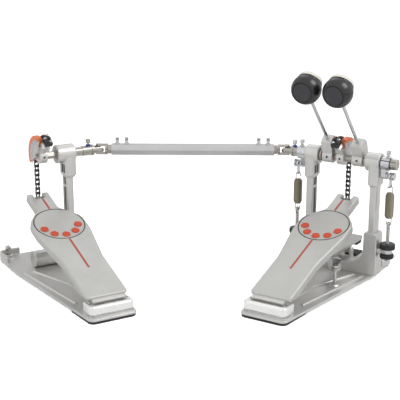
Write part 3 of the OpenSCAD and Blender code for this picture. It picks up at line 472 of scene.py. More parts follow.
def feed(tree: bpy.types.NodeTree, node: bpy.types.Node, values: dict[Any, Any]) -> bpy.types.Node:
    """Feeds a node's inputs.

    Args:
        tree: The node's tree.
        node: The node.
        values: A socket or a constant for each input, by its name or number.

    Returns:
        The node.
    """
    for key, value in values.items():
        if isinstance(value, bpy.types.NodeSocket):
            tree.links.new(value, node.inputs[key])
        else:
            node.inputs[key].default_value = value
    return node


def math_node(
    tree: bpy.types.NodeTree, kind: str, a: Any, b: Any, clamp: bool = False
) -> bpy.types.NodeSocket:
    """Adds a Math node.

    Args:
        tree: Where it goes.
        kind: Its operation.
        a: First input, a socket or a number.
        b: Second input.
        clamp: Keep the result from 0 to 1.

    Returns:
        The node's output.
    """
    node = tree.nodes.new("ShaderNodeMath")
    node.operation, node.use_clamp = kind, clamp
    return feed(tree, node, {0: a, 1: b}).outputs[0]


class GrainGroup:
    """Node group for every finish: patches of tint, fine grain, and the roughness that goes with them."""

    NAME = "grained_surface"
    INPUTS: tuple[tuple[str, str, Any], ...] = (
        ("Color", "NodeSocketColor", (0.5, 0.5, 0.5, 1)),
        ("Tint", "NodeSocketColor", (0.4, 0.4, 0.4, 1)),
        ("Patches", "NodeSocketFloat", 0.3),
        ("Patch Scale", "NodeSocketFloat", 40.0),
        ("Grain Scale", "NodeSocketFloat", 900.0),
        ("Roughness", "NodeSocketFloat", 0.4),
        ("Spread", "NodeSocketFloat", 0.1),
        ("Stretch", "NodeSocketVector", (1, 1, 1)),
    )
    OUTPUTS = {"Color": "NodeSocketColor", "Roughness": "NodeSocketFloat", "Height": "NodeSocketFloat"}
    CONTRAST = 3.0

    def build(self) -> bpy.types.ShaderNodeTree:
        """Makes the group once and returns it after that.

        With patch and grain the two noises, v = patch + grain - 1: the colour goes from Color to Tint as
        0.5 + CONTRAST Patches v goes from 0 to 1, and the roughness is Roughness + Spread v.

        Returns:
            The node tree.
        """
        if self.NAME in bpy.data.node_groups:
            return bpy.data.node_groups[self.NAME]
        tree = bpy.data.node_groups.new(self.NAME, "ShaderNodeTree")
        for name, kind, value in self.INPUTS:
            tree.interface.new_socket(name, in_out="INPUT", socket_type=kind).default_value = value
        for name, kind in self.OUTPUTS.items():
            tree.interface.new_socket(name, in_out="OUTPUT", socket_type=kind)
        make = tree.nodes.new
        given, place = make("NodeGroupInput").outputs, make("ShaderNodeTexCoord").outputs["Object"]
        mapping = feed(tree, make("ShaderNodeMapping"), {"Vector": place, "Scale": given["Stretch"]})
        patch, grain = make("ShaderNodeTexNoise"), make("ShaderNodeTexNoise")
        feed(tree, patch, {"Vector": place, "Scale": given["Patch Scale"], "Detail": 4.0})
        feed(tree, grain, {"Vector": mapping.outputs[0], "Scale": given["Grain Scale"], "Detail": 2.0})
        both = math_node(tree, "ADD", patch.outputs["Fac"], grain.outputs["Fac"])
        centred = math_node(tree, "SUBTRACT", both, 1.0)
        amount = math_node(tree, "MULTIPLY", centred, given["Patches"])
        amount = math_node(tree, "MULTIPLY", amount, self.CONTRAST)
        amount = math_node(tree, "ADD", amount, 0.5, clamp=True)
        mix = make("ShaderNodeMix")
        mix.data_type = "RGBA"
        feed(tree, mix, {"Factor": amount, 6: given["Color"], 7: given["Tint"]})
        rough = math_node(tree, "MULTIPLY", centred, given["Spread"])
        rough = math_node(tree, "ADD", rough, given["Roughness"], clamp=True)
        ends = {"Color": mix.outputs[2], "Roughness": rough, "Height": grain.outputs["Fac"]}
        feed(tree, make("NodeGroupOutput"), ends)
        return tree


@dataclass(frozen=True)
class Finish:
    """One surface finish: its colours, its gloss and its grain."""

    name: str
    slot: str
    base: Colour
    tint: Colour
    metallic: float = 0.0
    roughness: float = 0.4
    spread: float = 0.08
    patches: float = 0.4
    patch_scale: float = 30.0
    grain_scale: float = 900.0
    bump: float = 0.1
    depth: float = 0.0002
    stretch: tuple[float, float, float] = (1, 1, 1)
    gloss: float = 0.5
    sheen: float = 0.0

    def material(self) -> bpy.types.Material:
        """Makes the material once and returns it after that.

        Returns:
            The material.
        """
        if self.name in bpy.data.materials:
            return bpy.data.materials[self.name]
        mat = bpy.data.materials.new(self.name)
        mat.use_nodes = True
        tree = mat.node_tree
        grain = tree.nodes.new("ShaderNodeGroup")
        grain.node_tree = GrainGroup().build()
        feed(tree, grain, {
            "Color": (*self.base, 1), "Tint": (*self.tint, 1), "Patches": self.patches,
            "Patch Scale": self.patch_scale, "Grain Scale": self.grain_scale, "Roughness": self.roughness,
            "Spread": self.spread, "Stretch": self.stretch,
        })
        bump = feed(tree, tree.nodes.new("ShaderNodeBump"), {
            "Strength": self.bump, "Distance": self.depth, "Height": grain.outputs["Height"],
        })
        feed(tree, tree.nodes["Principled BSDF"], {
            "Base Color": grain.outputs["Color"], "Roughness": grain.outputs["Roughness"],
            "Normal": bump.outputs["Normal"], "Metallic": self.metallic, "Specular IOR Level": self.gloss,
            "Sheen Weight": self.sheen, "Sheen Roughness": 0.5,
        })
        return mat


CAST = Finish(
    "silver_casting", "cast_aluminium", (0.70, 0.695, 0.68), (0.61, 0.605, 0.59), 0.7, 0.36, bump=0.2,
)
BOARD = Finish(
    "blasted_board", "cast_aluminium", (0.60, 0.598, 0.58), (0.52, 0.518, 0.50), 0.45, 0.46, bump=0.35,
)
DISC = Finish(
    "blasted_disc", "cast_aluminium", (0.60, 0.598, 0.575), (0.53, 0.527, 0.505), 0.45, 0.5, bump=0.3,
)
POLISHED = Finish(
    "polished_casting", "polished_aluminium", (0.95, 0.95, 0.94), (0.89, 0.89, 0.88), 0.85, 0.26,
    bump=0.08,
)
CHROME = Finish("chrome_plate", "chrome", (0.66, 0.67, 0.68), (0.57, 0.58, 0.60), 1.0, 0.1, 0.04, bump=0.03)
LEVER = Finish("cast_lever", "chrome", (0.52, 0.515, 0.50), (0.44, 0.435, 0.42), 0.7, 0.34, bump=0.15)
NICKEL = Finish(
    "drawn_nickel", "nickel_steel", (0.50, 0.475, 0.435), (0.40, 0.38, 0.35), 1.0, 0.22, 0.06,
    grain_scale=500.0,
)
STEEL = Finish(
    "turned_steel", "nickel_steel", (0.56, 0.55, 0.53), (0.44, 0.43, 0.41), 1.0, 0.24, 0.06, bump=0.08,
)
BLACK_STEEL = Finish(
    "blued_chain", "black_steel", (0.035, 0.034, 0.033), (0.08, 0.075, 0.07), 0.85, 0.3, 0.1,
)
BLACK_NUT = Finish(
    "black_knurl", "black_steel", (0.02, 0.02, 0.021), (0.035, 0.035, 0.035), 0.3, 0.34, 0.08,
)
BLACK_HEAD = Finish(
    "beater_lacquer", "black_plastic", (0.010, 0.010, 0.011), (0.015, 0.015, 0.016), 0.0, 0.25, 0.04,
    bump=0.05, gloss=0.6,
)
BLACK_FACE = Finish(
    "beater_face", "black_plastic", (0.045, 0.046, 0.052), (0.06, 0.061, 0.067), 0.0, 0.5, 0.08,
    gloss=0.3,
)
RUBBER = Finish(
    "black_rubber_pad", "black_rubber", (0.02, 0.02, 0.021), (0.035, 0.034, 0.033), 0.0, 0.7, 0.1,
    bump=0.5,
)
ORANGE = Finish(
    "orange_cam", "orange_plastic", (0.84, 0.22, 0.075), (0.78, 0.18, 0.06), 0.0, 0.36, 0.05, bump=0.08,
)
RED_DOT = Finish(
    "red_grip_rubber", "red_rubber", (0.66, 0.09, 0.035), (0.56, 0.065, 0.028), 0.0, 0.5, 0.1, bump=0.4,
)
RED_LINE = Finish(
    "red_paint_line", "red_rubber", (0.48, 0.095, 0.055), (0.40, 0.075, 0.045), 0.0, 0.5, 0.08, bump=0.15,
)
# Near black: painted shade in grooves and holes, and the real black of the heel block's set screws
GROOVE_SHADE_AND_BLACK = Finish(
    "dark_groove_paint", "black_rubber", (0.03, 0.03, 0.032), (0.06, 0.06, 0.06), 0.0, 0.5, 0.08,
)
SPRING = Finish(
    "bronze_spring", "spring_steel", (0.36, 0.32, 0.25), (0.30, 0.265, 0.205), 0.9, 0.34, 0.06,
    patches=0.15, bump=0.04,
)
HOOK = Finish(
    "bright_hook", "spring_steel", (0.58, 0.57, 0.54), (0.46, 0.45, 0.43), 1.0, 0.22, 0.06, bump=0.05,
)
FELT = Finish(
    "wool_felt", "felt", (0.93, 0.91, 0.82), (0.86, 0.83, 0.73), 0.0, 0.95, 0.05, patch_scale=90.0,
    grain_scale=1800.0, bump=0.45, depth=0.0003, sheen=0.3,
)
TUBE = Finish(
    "brushed_tube", "cast_aluminium", (0.60, 0.60, 0.605), (0.53, 0.53, 0.535), 0.5, 0.42, 0.08,
    grain_scale=700.0, stretch=(0.02, 1, 1), bump=0.12,
)
BLUE = Finish("blue_ring", "chrome", (0.03, 0.05, 0.42), (0.02, 0.04, 0.33), 0.2, 0.3, 0.05)


# ---------------------------------------------------------------- dressing


@dataclass(frozen=True)
class Layout:
    """Where the two pedals stand, in millimetres, as in the part's source."""

    fan: float = 31.0
    reach: float = 100.0
    half: float = 161.0
    axle_z: float = 200.0
    cradle_x: float = 7.0
    heel_pin: Corner = (0.0, -240.0, 20.0)
    shift: tuple[float, float] = (3.000086, -124.554948)

    def pedal(self, side: Side) -> Placement:
        """Frame of one pedal: x across the board, y forward, z up, under the axle.

        Args:
            side: Which pedal.

        Returns:
            Its placement; the left one is mirrored.
        """
        c, s = math.cos(math.radians(self.fan)), math.sin(math.radians(self.fan))
        sign = side.value
        turn = np.array([[sign * c, sign * s, 0], [-s, c, 0], [0, 0, 1]])
        centre = np.array([sign * (self.half + self.reach * c), -self.reach * s, 0])
        return Placement(turn, centre - np.array([*self.shift, 0]))

    def axle(self, side: Side, turn: Array | None = None) -> Placement:
        """Frame on a pedal's axle, upright or with the axes given as columns."""
        return self.pedal(side).at((0, 0, self.axle_z), turn)

    def shaft(self) -> Placement:
        """Frame on the drive shaft's axis, midway between its joints."""
        return Placement(np.eye(3), np.array([-self.shift[0], -self.shift[1], self.axle_z]))


LAYOUT = Layout()


class Workshop:
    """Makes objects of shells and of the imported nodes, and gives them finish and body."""

    FLAT = 1.5
    SHARP = 32.0

    def __init__(self, frame: dict[str, Any]) -> None:
        """Reads which body each node rides on.
        """
        self.nodes: dict[str, Any] = frame["nodes"]
        bodies = frame["record"]["behaviour"]["bodies"]
        self.body_of = {node: body for body, nodes in bodies.items() for node in nodes}
        self.done: set[str] = set()

    def dress(
        self, mesh: bpy.types.Mesh, finishes: tuple[Finish, ...], stands_for: tuple[str, ...] = (),
        body: str | None = "",
    ) -> bpy.types.Object:
        """Makes an object of a mesh, in place of nodes or beside one.

        Args:
            mesh: The mesh, in world metres.
            finishes: Its finishes by mark.
            stands_for: Nodes that it replaces.
            body: The body that it rides on; the first node's own by default, and no body for None.

        Returns:
            The object.
        """
        piece = linked(mesh.name, mesh)
        for finish in finishes:
            mesh.materials.append(finish.material())
        if body is not None:
            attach(piece, body or self.body_of[stands_for[0]])
        if stands_for:
            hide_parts(*stands_for)
            self.done.update(stands_for)
        LOG.info("%s: %d faces", piece.name, len(mesh.polygons))
        return piece

    def merged(self, node: str) -> bpy.types.Mesh:
        """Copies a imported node's mesh with its doubles merged and its flat faces joined.

        Args:
            node: The node's name.

        Returns:
            The mesh.
        """
        mesh = bpy.data.meshes.new(f"{node}_dressed")
        work = bmesh.new()
        work.from_mesh(self.nodes[node].data)
        bmesh.ops.remove_doubles(work, verts=work.verts, dist=MERGED)
        flat = math.radians(self.FLAT)
        bmesh.ops.dissolve_limit(work, angle_limit=flat, verts=work.verts, edges=work.edges)
        work.to_mesh(mesh)
        work.free()
        return mesh

    def softened(self, node: str, finish: Finish, width: float) -> bpy.types.Object:
        """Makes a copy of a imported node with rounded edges.

        Args:
            node: The node's name.
            finish: Its finish.
            width: Width of the rounding in millimetres.

        Returns:
            The object that replaces the node.
        """
        mesh = self.merged(node)
        shade(mesh)
        piece = self.dress(mesh, (finish,), (node,))
        bevel = piece.modifiers.new("edge", "BEVEL")
        bevel.width, bevel.segments = width * MM, 2
        bevel.limit_method, bevel.angle_limit = "ANGLE", math.radians(self.SHARP)
        bevel.miter_outer = "MITER_ARC"
        weighted = piece.modifiers.new("shade", "WEIGHTED_NORMAL")
        weighted.keep_sharp = True
        return piece

    def cast(self, node: str, finish: Finish, voxel: float, rounds: int) -> bpy.types.Object:
        """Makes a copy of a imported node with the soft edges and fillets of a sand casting.

        The copy is rebuilt on a fine grid, and each point is then moved halfway to its neighbours' mean.

        Args:
            node: The node's name.
            finish: Its finish.
            voxel: Size of the grid in millimetres.
            rounds: How often the points are moved.

        Returns:
            The object that replaces the node.
        """
        rough = linked(f"{node}_rough", self.merged(node))
        remesh = rough.modifiers.new("grid", "REMESH")
        remesh.mode, remesh.voxel_size, remesh.use_smooth_shade = "VOXEL", voxel * MM, True
        smooth = rough.modifiers.new("fillet", "SMOOTH")
        smooth.factor, smooth.iterations = 0.5, rounds
        graph = bpy.context.evaluated_depsgraph_get()
        mesh = bpy.data.meshes.new_from_object(rough.evaluated_get(graph))
        bpy.data.objects.remove(rough)
        mesh.name = f"{node}_cast"
        shade(mesh)
        return self.dress(mesh, (finish,), (node,))


@dataclass
class Footboard:
    """Cast footboard: folded lip, hinge barrel, dished round pad, grip dots and painted lines.

    A size that ends in u lies along the board, from the hinge pin's axis.
    """

    side: Side
    pin_across: float = 271.0
    pin_up: float = 100.0
    pin_below: float = 7.7
    heel_half: float = 35.0
    wide_half: float = 46.5
    heel_u: float = 4.0
    rise: float = 13.7
    plate: float = 4.0
    lip: float = 13.0
    wall: float = 3.0
    rim: float = 3.0
    disc_r: float = 43.0
    disc_u: float = 199.0
    ring_w: float = 2.0
    dish: float = 1.5
    dot_r: float = 7.0
    dot_ring: float = 31.0
    dot_step: float = 36.3
    stripe_half: float = 1.9
    stripe_u: float = 75.0
    barrel_r: float = 5.0
    barrel_half: float = 26.0
    ease_u: float = 12.0
    ease_length: float = 18.0
    toe_x: float = 2.5
    toe_half: float = 19.5
    notch_half: float = 8.5

    def __post_init__(self) -> None:
        """Works out the board's slope and length from the toe pin's place."""
        reach = math.hypot(self.pin_across, self.pin_up)
        self.pin_u = math.sqrt(reach**2 - self.pin_below**2)
        slope = math.atan(self.pin_up / self.pin_across) - math.asin(self.pin_below / reach)
        self.place = LAYOUT.pedal(self.side).at(LAYOUT.heel_pin, pitch(math.degrees(slope)))
        self.toe_u, self.notch_u = self.pin_u + 6, self.pin_u - 9

    def corners(self) -> list[Corner]:
        """Lists the corners of the outline.

        Returns:
            The corners, counter-clockwise from the heel's right corner.
        """

        def half(s: int) -> list[Corner]:
            """Lists the corners of one half.

            Args:
                s: 1 for the right half and -1 for the left one.

            Returns:
                The corners, from the heel to the notch.
            """
            h, x, mid = s * self.heel_half, s * self.wide_half, self.disc_u
            t, n = self.toe_x + s * self.toe_half, self.toe_x + s * self.notch_half
            return [
                (h, self.heel_u, 7), (h, 100, 60), (x, mid - 22, 25), (x, mid + 14, 30), (t, mid + 47, 16),
                (t, self.toe_u, 3), (n, self.toe_u, 1.5), (n, self.notch_u, 3),
            ]

        return half(1) + half(-1)[::-1]

    def build(self, shop: Workshop) -> None:
        """Makes the board and its inlays.

        Args:
            shop: Dresses the pieces.
        """
        shell = Shell(f"{self.side.word}_board_casting", self.place)
        self.skin(shell)
        self.hinge(shell)
        self.pad(shell)
        shop.dress(shell.mesh(), (BOARD, CAST, GROOVE_SHADE_AND_BLACK, DISC), (f"{self.side.word}_footboard",))
        self.inlays(shop)

    def skin(self, shell: Shell) -> None:
        """Makes the top, its rounded rim and the lip, whose depth eases out towards the heel.

        Every ring is the outline drawn in by some depth; its height is one number, or below the rim the
        lip's lower edge, which is rise - (thin + (lip - thin) s) with s a smooth step along the board.

        Args:
            shell: Where the surfaces go.
        """
        corners, thin = self.corners(), self.plate + 1

        def ring(depth: float) -> Array:
            """The outline drawn in by a depth."""
            return rounded(corners, depth, 8, 14)

        eased = smooth_step((ring(0)[:, 1] - self.ease_u) / self.ease_length)
        low = self.rise - thin - (self.lip - thin) * eased
        under, edge, wall = self.rise - self.plate, self.rim, self.wall
        inner = np.minimum(under - 0.4, np.maximum(under - 1.2, low + 0.5))
        rows: list[tuple[float, Any]] = [
            (wall + 1.2, under), (wall + 0.3, (inner + under) / 2), (wall, inner), (wall, low + 0.5),
            (wall - 0.5, low), (0.7, low), (0.2, low + 0.2), (0.0, low + 0.7),
        ]
        for a in np.linspace(0, math.pi / 2, 7):
            rows.append((edge * (1 - math.cos(a)), self.rise - edge * (1 - math.sin(a))))
        rows.append((edge + 0.5, self.rise))
        grid = np.stack([np.column_stack([ring(d), np.broadcast_to(h, low.shape)]) for d, h in rows])
        shell.grid(grid, caps=False)
        shell.fill([ring(rows[0][0])], under)
        circle = turned([(self.disc_r, 0)], 96)[0, :, :2] + [0, self.disc_u]
        shell.fill([ring(edge + 0.5), circle], self.rise)
        for s in (-1, 1):
            x = sorted((self.toe_x + s * (self.notch_half + 1), self.toe_x + s * (self.toe_half - 1)))
            block = box_corners(x[0], x[1], self.notch_u - 2, self.toe_u - 3, 1)
            shell.grid(slab(block, soft_levels(self.rise - self.lip + 0.3, under + 1, 0.3)))

    def hinge(self, shell: Shell) -> None:
        """Makes the barrel under the heel and the web that carries it.

        Args:
            shell: Where they go.
        """
        half = self.barrel_half
        shell.rod(self.barrel_r, -half, half, 0.5, 40, 1, self.place.at((0, 0, 0), ALONG_X))
        web = box_corners(-half, half, -4, self.heel_u + 4, 1)
        shell.grid(slab(web, soft_levels(0, self.rise - self.plate + 1, 0.3)), mark=1)

    def pad(self, shell: Shell) -> None:
        """Makes the ring's groove and the dish: its depth is dish (1 - (r / inner radius)^2).

        Args:
            shell: Where the surfaces go.
        """
        place = self.place.at((0, self.disc_u, self.rise))
        r0, r1 = self.disc_r, self.disc_r - self.ring_w
        # The groove is coloured near black: painted shade in the groove
        groove = turned([(r0, 0), (r0 - 0.05, -0.5), (r1 + 0.05, -0.5), (r1, 0)], 96)
        shell.grid(groove, caps=False, mark=2, place=place)
        r = r1 * np.linspace(1, 0, 24)
        bowl = turned(np.column_stack([r, -self.dish * (1 - (r / r1) ** 2)]), 96)
        shell.grid(bowl, caps=False, mark=3, place=place)

    def inlays(self, shop: Workshop) -> None:
        """Makes the grip dots, the painted lines and, for the small hole at the toe, a dark disc of painted
        shade.

        A dot's outline is r (0.92 + 0.08 |cos 2.5 a|), five soft lobes, and its top is a low dome.

        Args:
            shop: Dresses the piece.
        """
        shell = Shell(f"{self.side.word}_board_inlays", self.place)

        def lobes(angle: Array, radius: Array, _: Array) -> Array:
            """Depth of the hollows between a dot's five lobes: 0.08 r (1 - |cos 2.5 a|)."""
            return 0.08 * radius * (1 - np.abs(np.cos(2.5 * angle)))

        rise = [-1.4, -1.2, 0.35, 0.7, 0.9, 1.0, 1.05, 1.05]
        dome = np.stack([self.dot_r * np.array([0.99, 1, 1, 0.985, 0.94, 0.8, 0.45, 0.02]), rise], 1)
        dot = dented(turned(dome, 60), lobes)
        for k in range(-2, 3):
            t = math.radians(self.dot_step * k)
            spot = (self.dot_ring * math.sin(t), self.disc_u - self.dot_ring * math.cos(t), self.rise)
            turn = np.array([[math.cos(t), -math.sin(t), 0], [math.sin(t), math.cos(t), 0], [0, 0, 1]])
            shell.grid(dot, place=self.place.at(spot, turn))
        half, clear = self.stripe_half, self.disc_r + 1
        paint = soft_levels(self.rise - 0.3, self.rise + 0.1, 0.08, 0.05, 2)
        for u0, u1 in ((self.stripe_u, self.disc_u - clear), (self.disc_u + clear, self.pin_u - 13.5)):
            shell.grid(slab(box_corners(-half, half, u0, u1, 0.6), paint), mark=1)
        # The toe hole is a shallow dark disc: painted shade where the hole is
        hole = turned([(0, -0.2), (1.5, -0.2), (1.5, 0.08), (0, 0.08)], 20)
        shell.grid(hole, mark=2, place=self.place.at((0.4, self.pin_u - 11.6, self.rise)))
        shop.dress(shell.mesh(), (RED_DOT, RED_LINE, GROOVE_SHADE_AND_BLACK), (f"{self.side.word}_foot_inlays",))


@dataclass
class HeelBlock:
    """Polished heel block: a notch for the board's barrel, the hinge pin and two small set screws."""

    side: Side
    half: float = 36.5
    back: float = -259.0
    front: float = -226.0
    low: float = 8.0
    top: float = 25.5
    notch_half: float = 26.4
    notch_y: float = -249.0
    notch_z: float = 13.5
    rim: float = 3.2
    pin_r: float = 2.5
    pin_half: float = 29.0
    screw_x: float = 31.0
    screw_y: float = -243.0

    def build(self, shop: Workshop) -> None:
        """Makes the block: a low slab under a notched one whose upper rim is a quarter circle.

        Args:
            shop: Dresses the piece.
        """
        shell = Shell(f"{self.side.word}_heel_casting", LAYOUT.pedal(self.side))
        h, n, y0, y1, y2 = self.half, self.notch_half, self.back, self.notch_y, self.front
        shell.grid(slab(box_corners(-h, h, y0, y2, 7), soft_levels(self.low, self.notch_z, 0.3), 8))
        notched = [
            (-h, y0, 7), (h, y0, 7), (h, y2, 5), (n, y2, 2), (n, y1, 1), (-n, y1, 1), (-n, y2, 2),
            (-h, y2, 5),
        ]
        shell.grid(slab(notched, soft_levels(self.low + 1, self.top, self.rim, 0.2, 7), 8))
        pin = shell.place.at(LAYOUT.heel_pin, ALONG_X)
        shell.rod(self.pin_r, -self.pin_half, self.pin_half, 0.3, 24, 1, pin)
        screw = turned([(0, 0.02), (1.6, 0.02), (1.7, -0.4), (0, -0.4)], 20)
        for x in (-self.screw_x, self.screw_x):
            shell.grid(screw, mark=2, place=shell.place.at((x, self.screw_y, self.top)))
        shop.dress(shell.mesh(), (POLISHED, STEEL, GROOVE_SHADE_AND_BLACK), (f"{self.side.word}_heel_block",))


@dataclass
class Chain:
    """Roller chain: waisted plates, rollers and riveted pins, hanging and round the cam."""

    side: Side
    pitch: float = 8.0
    line: float = 31.0
    x: float = 2.5
    plate_r: float = 3.1
    plate_t: float = 0.8
    pin_r: float = 1.2
    pin_end: float = 4.15
    inner_x: float = 2.0
    waist: float = 0.9
    end_share: float = 0.42
    eye_inner: float = 3.45
    eye_outer: float = 4.45
    anchor_r: float = 3.6
    run: int = 10
    wrap: int = 6

    def __post_init__(self) -> None:
        """Sets the frame whose local x, y and z run forward, up and across, and the links' angle."""
        self.place = LAYOUT.axle(self.side).at((self.x, 0, 0), ALONG_X)
        self.step = 2 * math.asin(self.pitch / 2 / self.line)

    def on_cam(self, k: int) -> Array:
        """Place of a pin round the cam, k links past the tangent point."""
        return self.line * np.array([math.cos(k * self.step), math.sin(k * self.step)])

    def hanging(self, k: int) -> Array:
        """Place of a pin on the straight run, k links below the tangent point."""
        return np.array([self.line, -k * self.pitch])

    def plates(self, shell: Shell, p: Array, q: Array, outer: bool) -> None:
        """Makes a pair of plates: round ends, and r - waist sin^2 (pi s / length) as half width between.

        Args:
            shell: Where they go.
            p: First pin.
            q: Second pin.
            outer: Whether they lie outside their neighbours.
        """
        r, length = self.plate_r, float(np.linalg.norm(q - p))
        s = np.linspace(0, length, 9)[1:-1]
        waist = r - self.waist * np.sin(math.pi * s / length) ** 2
        a = np.linspace(-math.pi / 2, math.pi / 2, 9)
        outline = np.concatenate([
            np.stack([length + r * np.cos(a), r * np.sin(a)], 1), np.stack([s[::-1], waist[::-1]], 1),
            np.stack([-r * np.cos(a), r * np.sin(-a)], 1), np.stack([s, -waist], 1),
        ])
        along = (q - p) / length
        across = np.array([-along[1], along[0]])
        x0 = self.inner_x + (self.plate_t + 0.15 if outer else 0)
        x1, centre = x0 + self.plate_t, np.array([length / 2, 0])
        for sign in (-1, 1):
            rings = []
            for x, k in ((x0, 0.95), (x0 + 0.12, 1), (x1 - 0.12, 1), (x1, 0.95)):
                flat = (outline - centre) * [1 - (1 - k) * 0.5, k] + centre
                ring = p + flat[:, :1] * along + flat[:, 1:] * across
                rings.append(np.column_stack([ring, np.full(len(ring), sign * x)]))
            shell.grid(np.stack(rings))

    def pin(self, shell: Shell, p: Array, roller: float = 2.1) -> None:
        """Makes a pin with domed ends and its roller.

        Args:
            shell: Where it goes.
            p: The pin's place.
            roller: Half the roller's width.
        """
        place = self.place.at((p[0], p[1], 0))
        end, r = self.pin_end, self.pin_r
        dome = np.array([(0, end), (r * 0.6, end - 0.05), (r, end - 0.3)])
        shell.grid(turned(np.concatenate([dome * [1, -1], dome[::-1]]), 12), place=place, mark=1)
        shell.rod(r + 1.1, -roller, roller, 0.25, 16, place=place)

    def build(self, shop: Workshop) -> None:
        """Makes the hanging run down to the toe pin's eye, and the wrapped links up to the anchor.

        Args:
            shop: Dresses the pieces.
        """
        run = Shell(f"{self.side.word}_hanging_chain", self.place)
        self.plates(run, self.on_cam(1), self.on_cam(0), False)
        for k in range(self.run - 1):
            self.plates(run, self.hanging(k), self.hanging(k + 1), k % 2 == 0)
        for k in range(self.run):
            self.pin(run, self.hanging(k))
        eye, end = self.hanging(self.run), self.hanging(self.run - 1)
        self.plates(run, end, end + (eye - end) * self.end_share, False)
        x0, x1, r0, r1 = self.inner_x, self.inner_x + self.plate_t, self.eye_inner, self.eye_outer
        rim = [(r1 - 0.1, x0), (r1, x0 + 0.1), (r1, x1 - 0.1), (r1 - 0.1, x1)]
        ring = np.array([(r0, x0), *rim, (r0, x1), (r0, x0)])
        for sign in (-1, 1):
            spot = self.place.at((eye[0], eye[1], 0))
            run.grid(turned(ring * [1, sign], 40), caps=False, place=spot)
        shop.dress(run.mesh(), (BLACK_STEEL, STEEL), (f"{self.side.word}_chain_run",))
        wrap = Shell(f"{self.side.word}_wrapped_chain", self.place)
        for k in range(1, self.wrap + 1):
            self.plates(wrap, self.on_cam(k), self.on_cam(k + 1), k % 2 == 1)
            self.pin(wrap, self.on_cam(k), 1.9)
        last = self.on_cam(self.wrap + 1)
        spot, half = self.place.at((last[0], last[1], 0)), self.pin_end
        wrap.rod(self.anchor_r, -half, half, 0.5, 24, 1, spot)
        shop.dress(wrap.mesh(), (BLACK_STEEL, STEEL), (f"{self.side.word}_chain_wrap",))


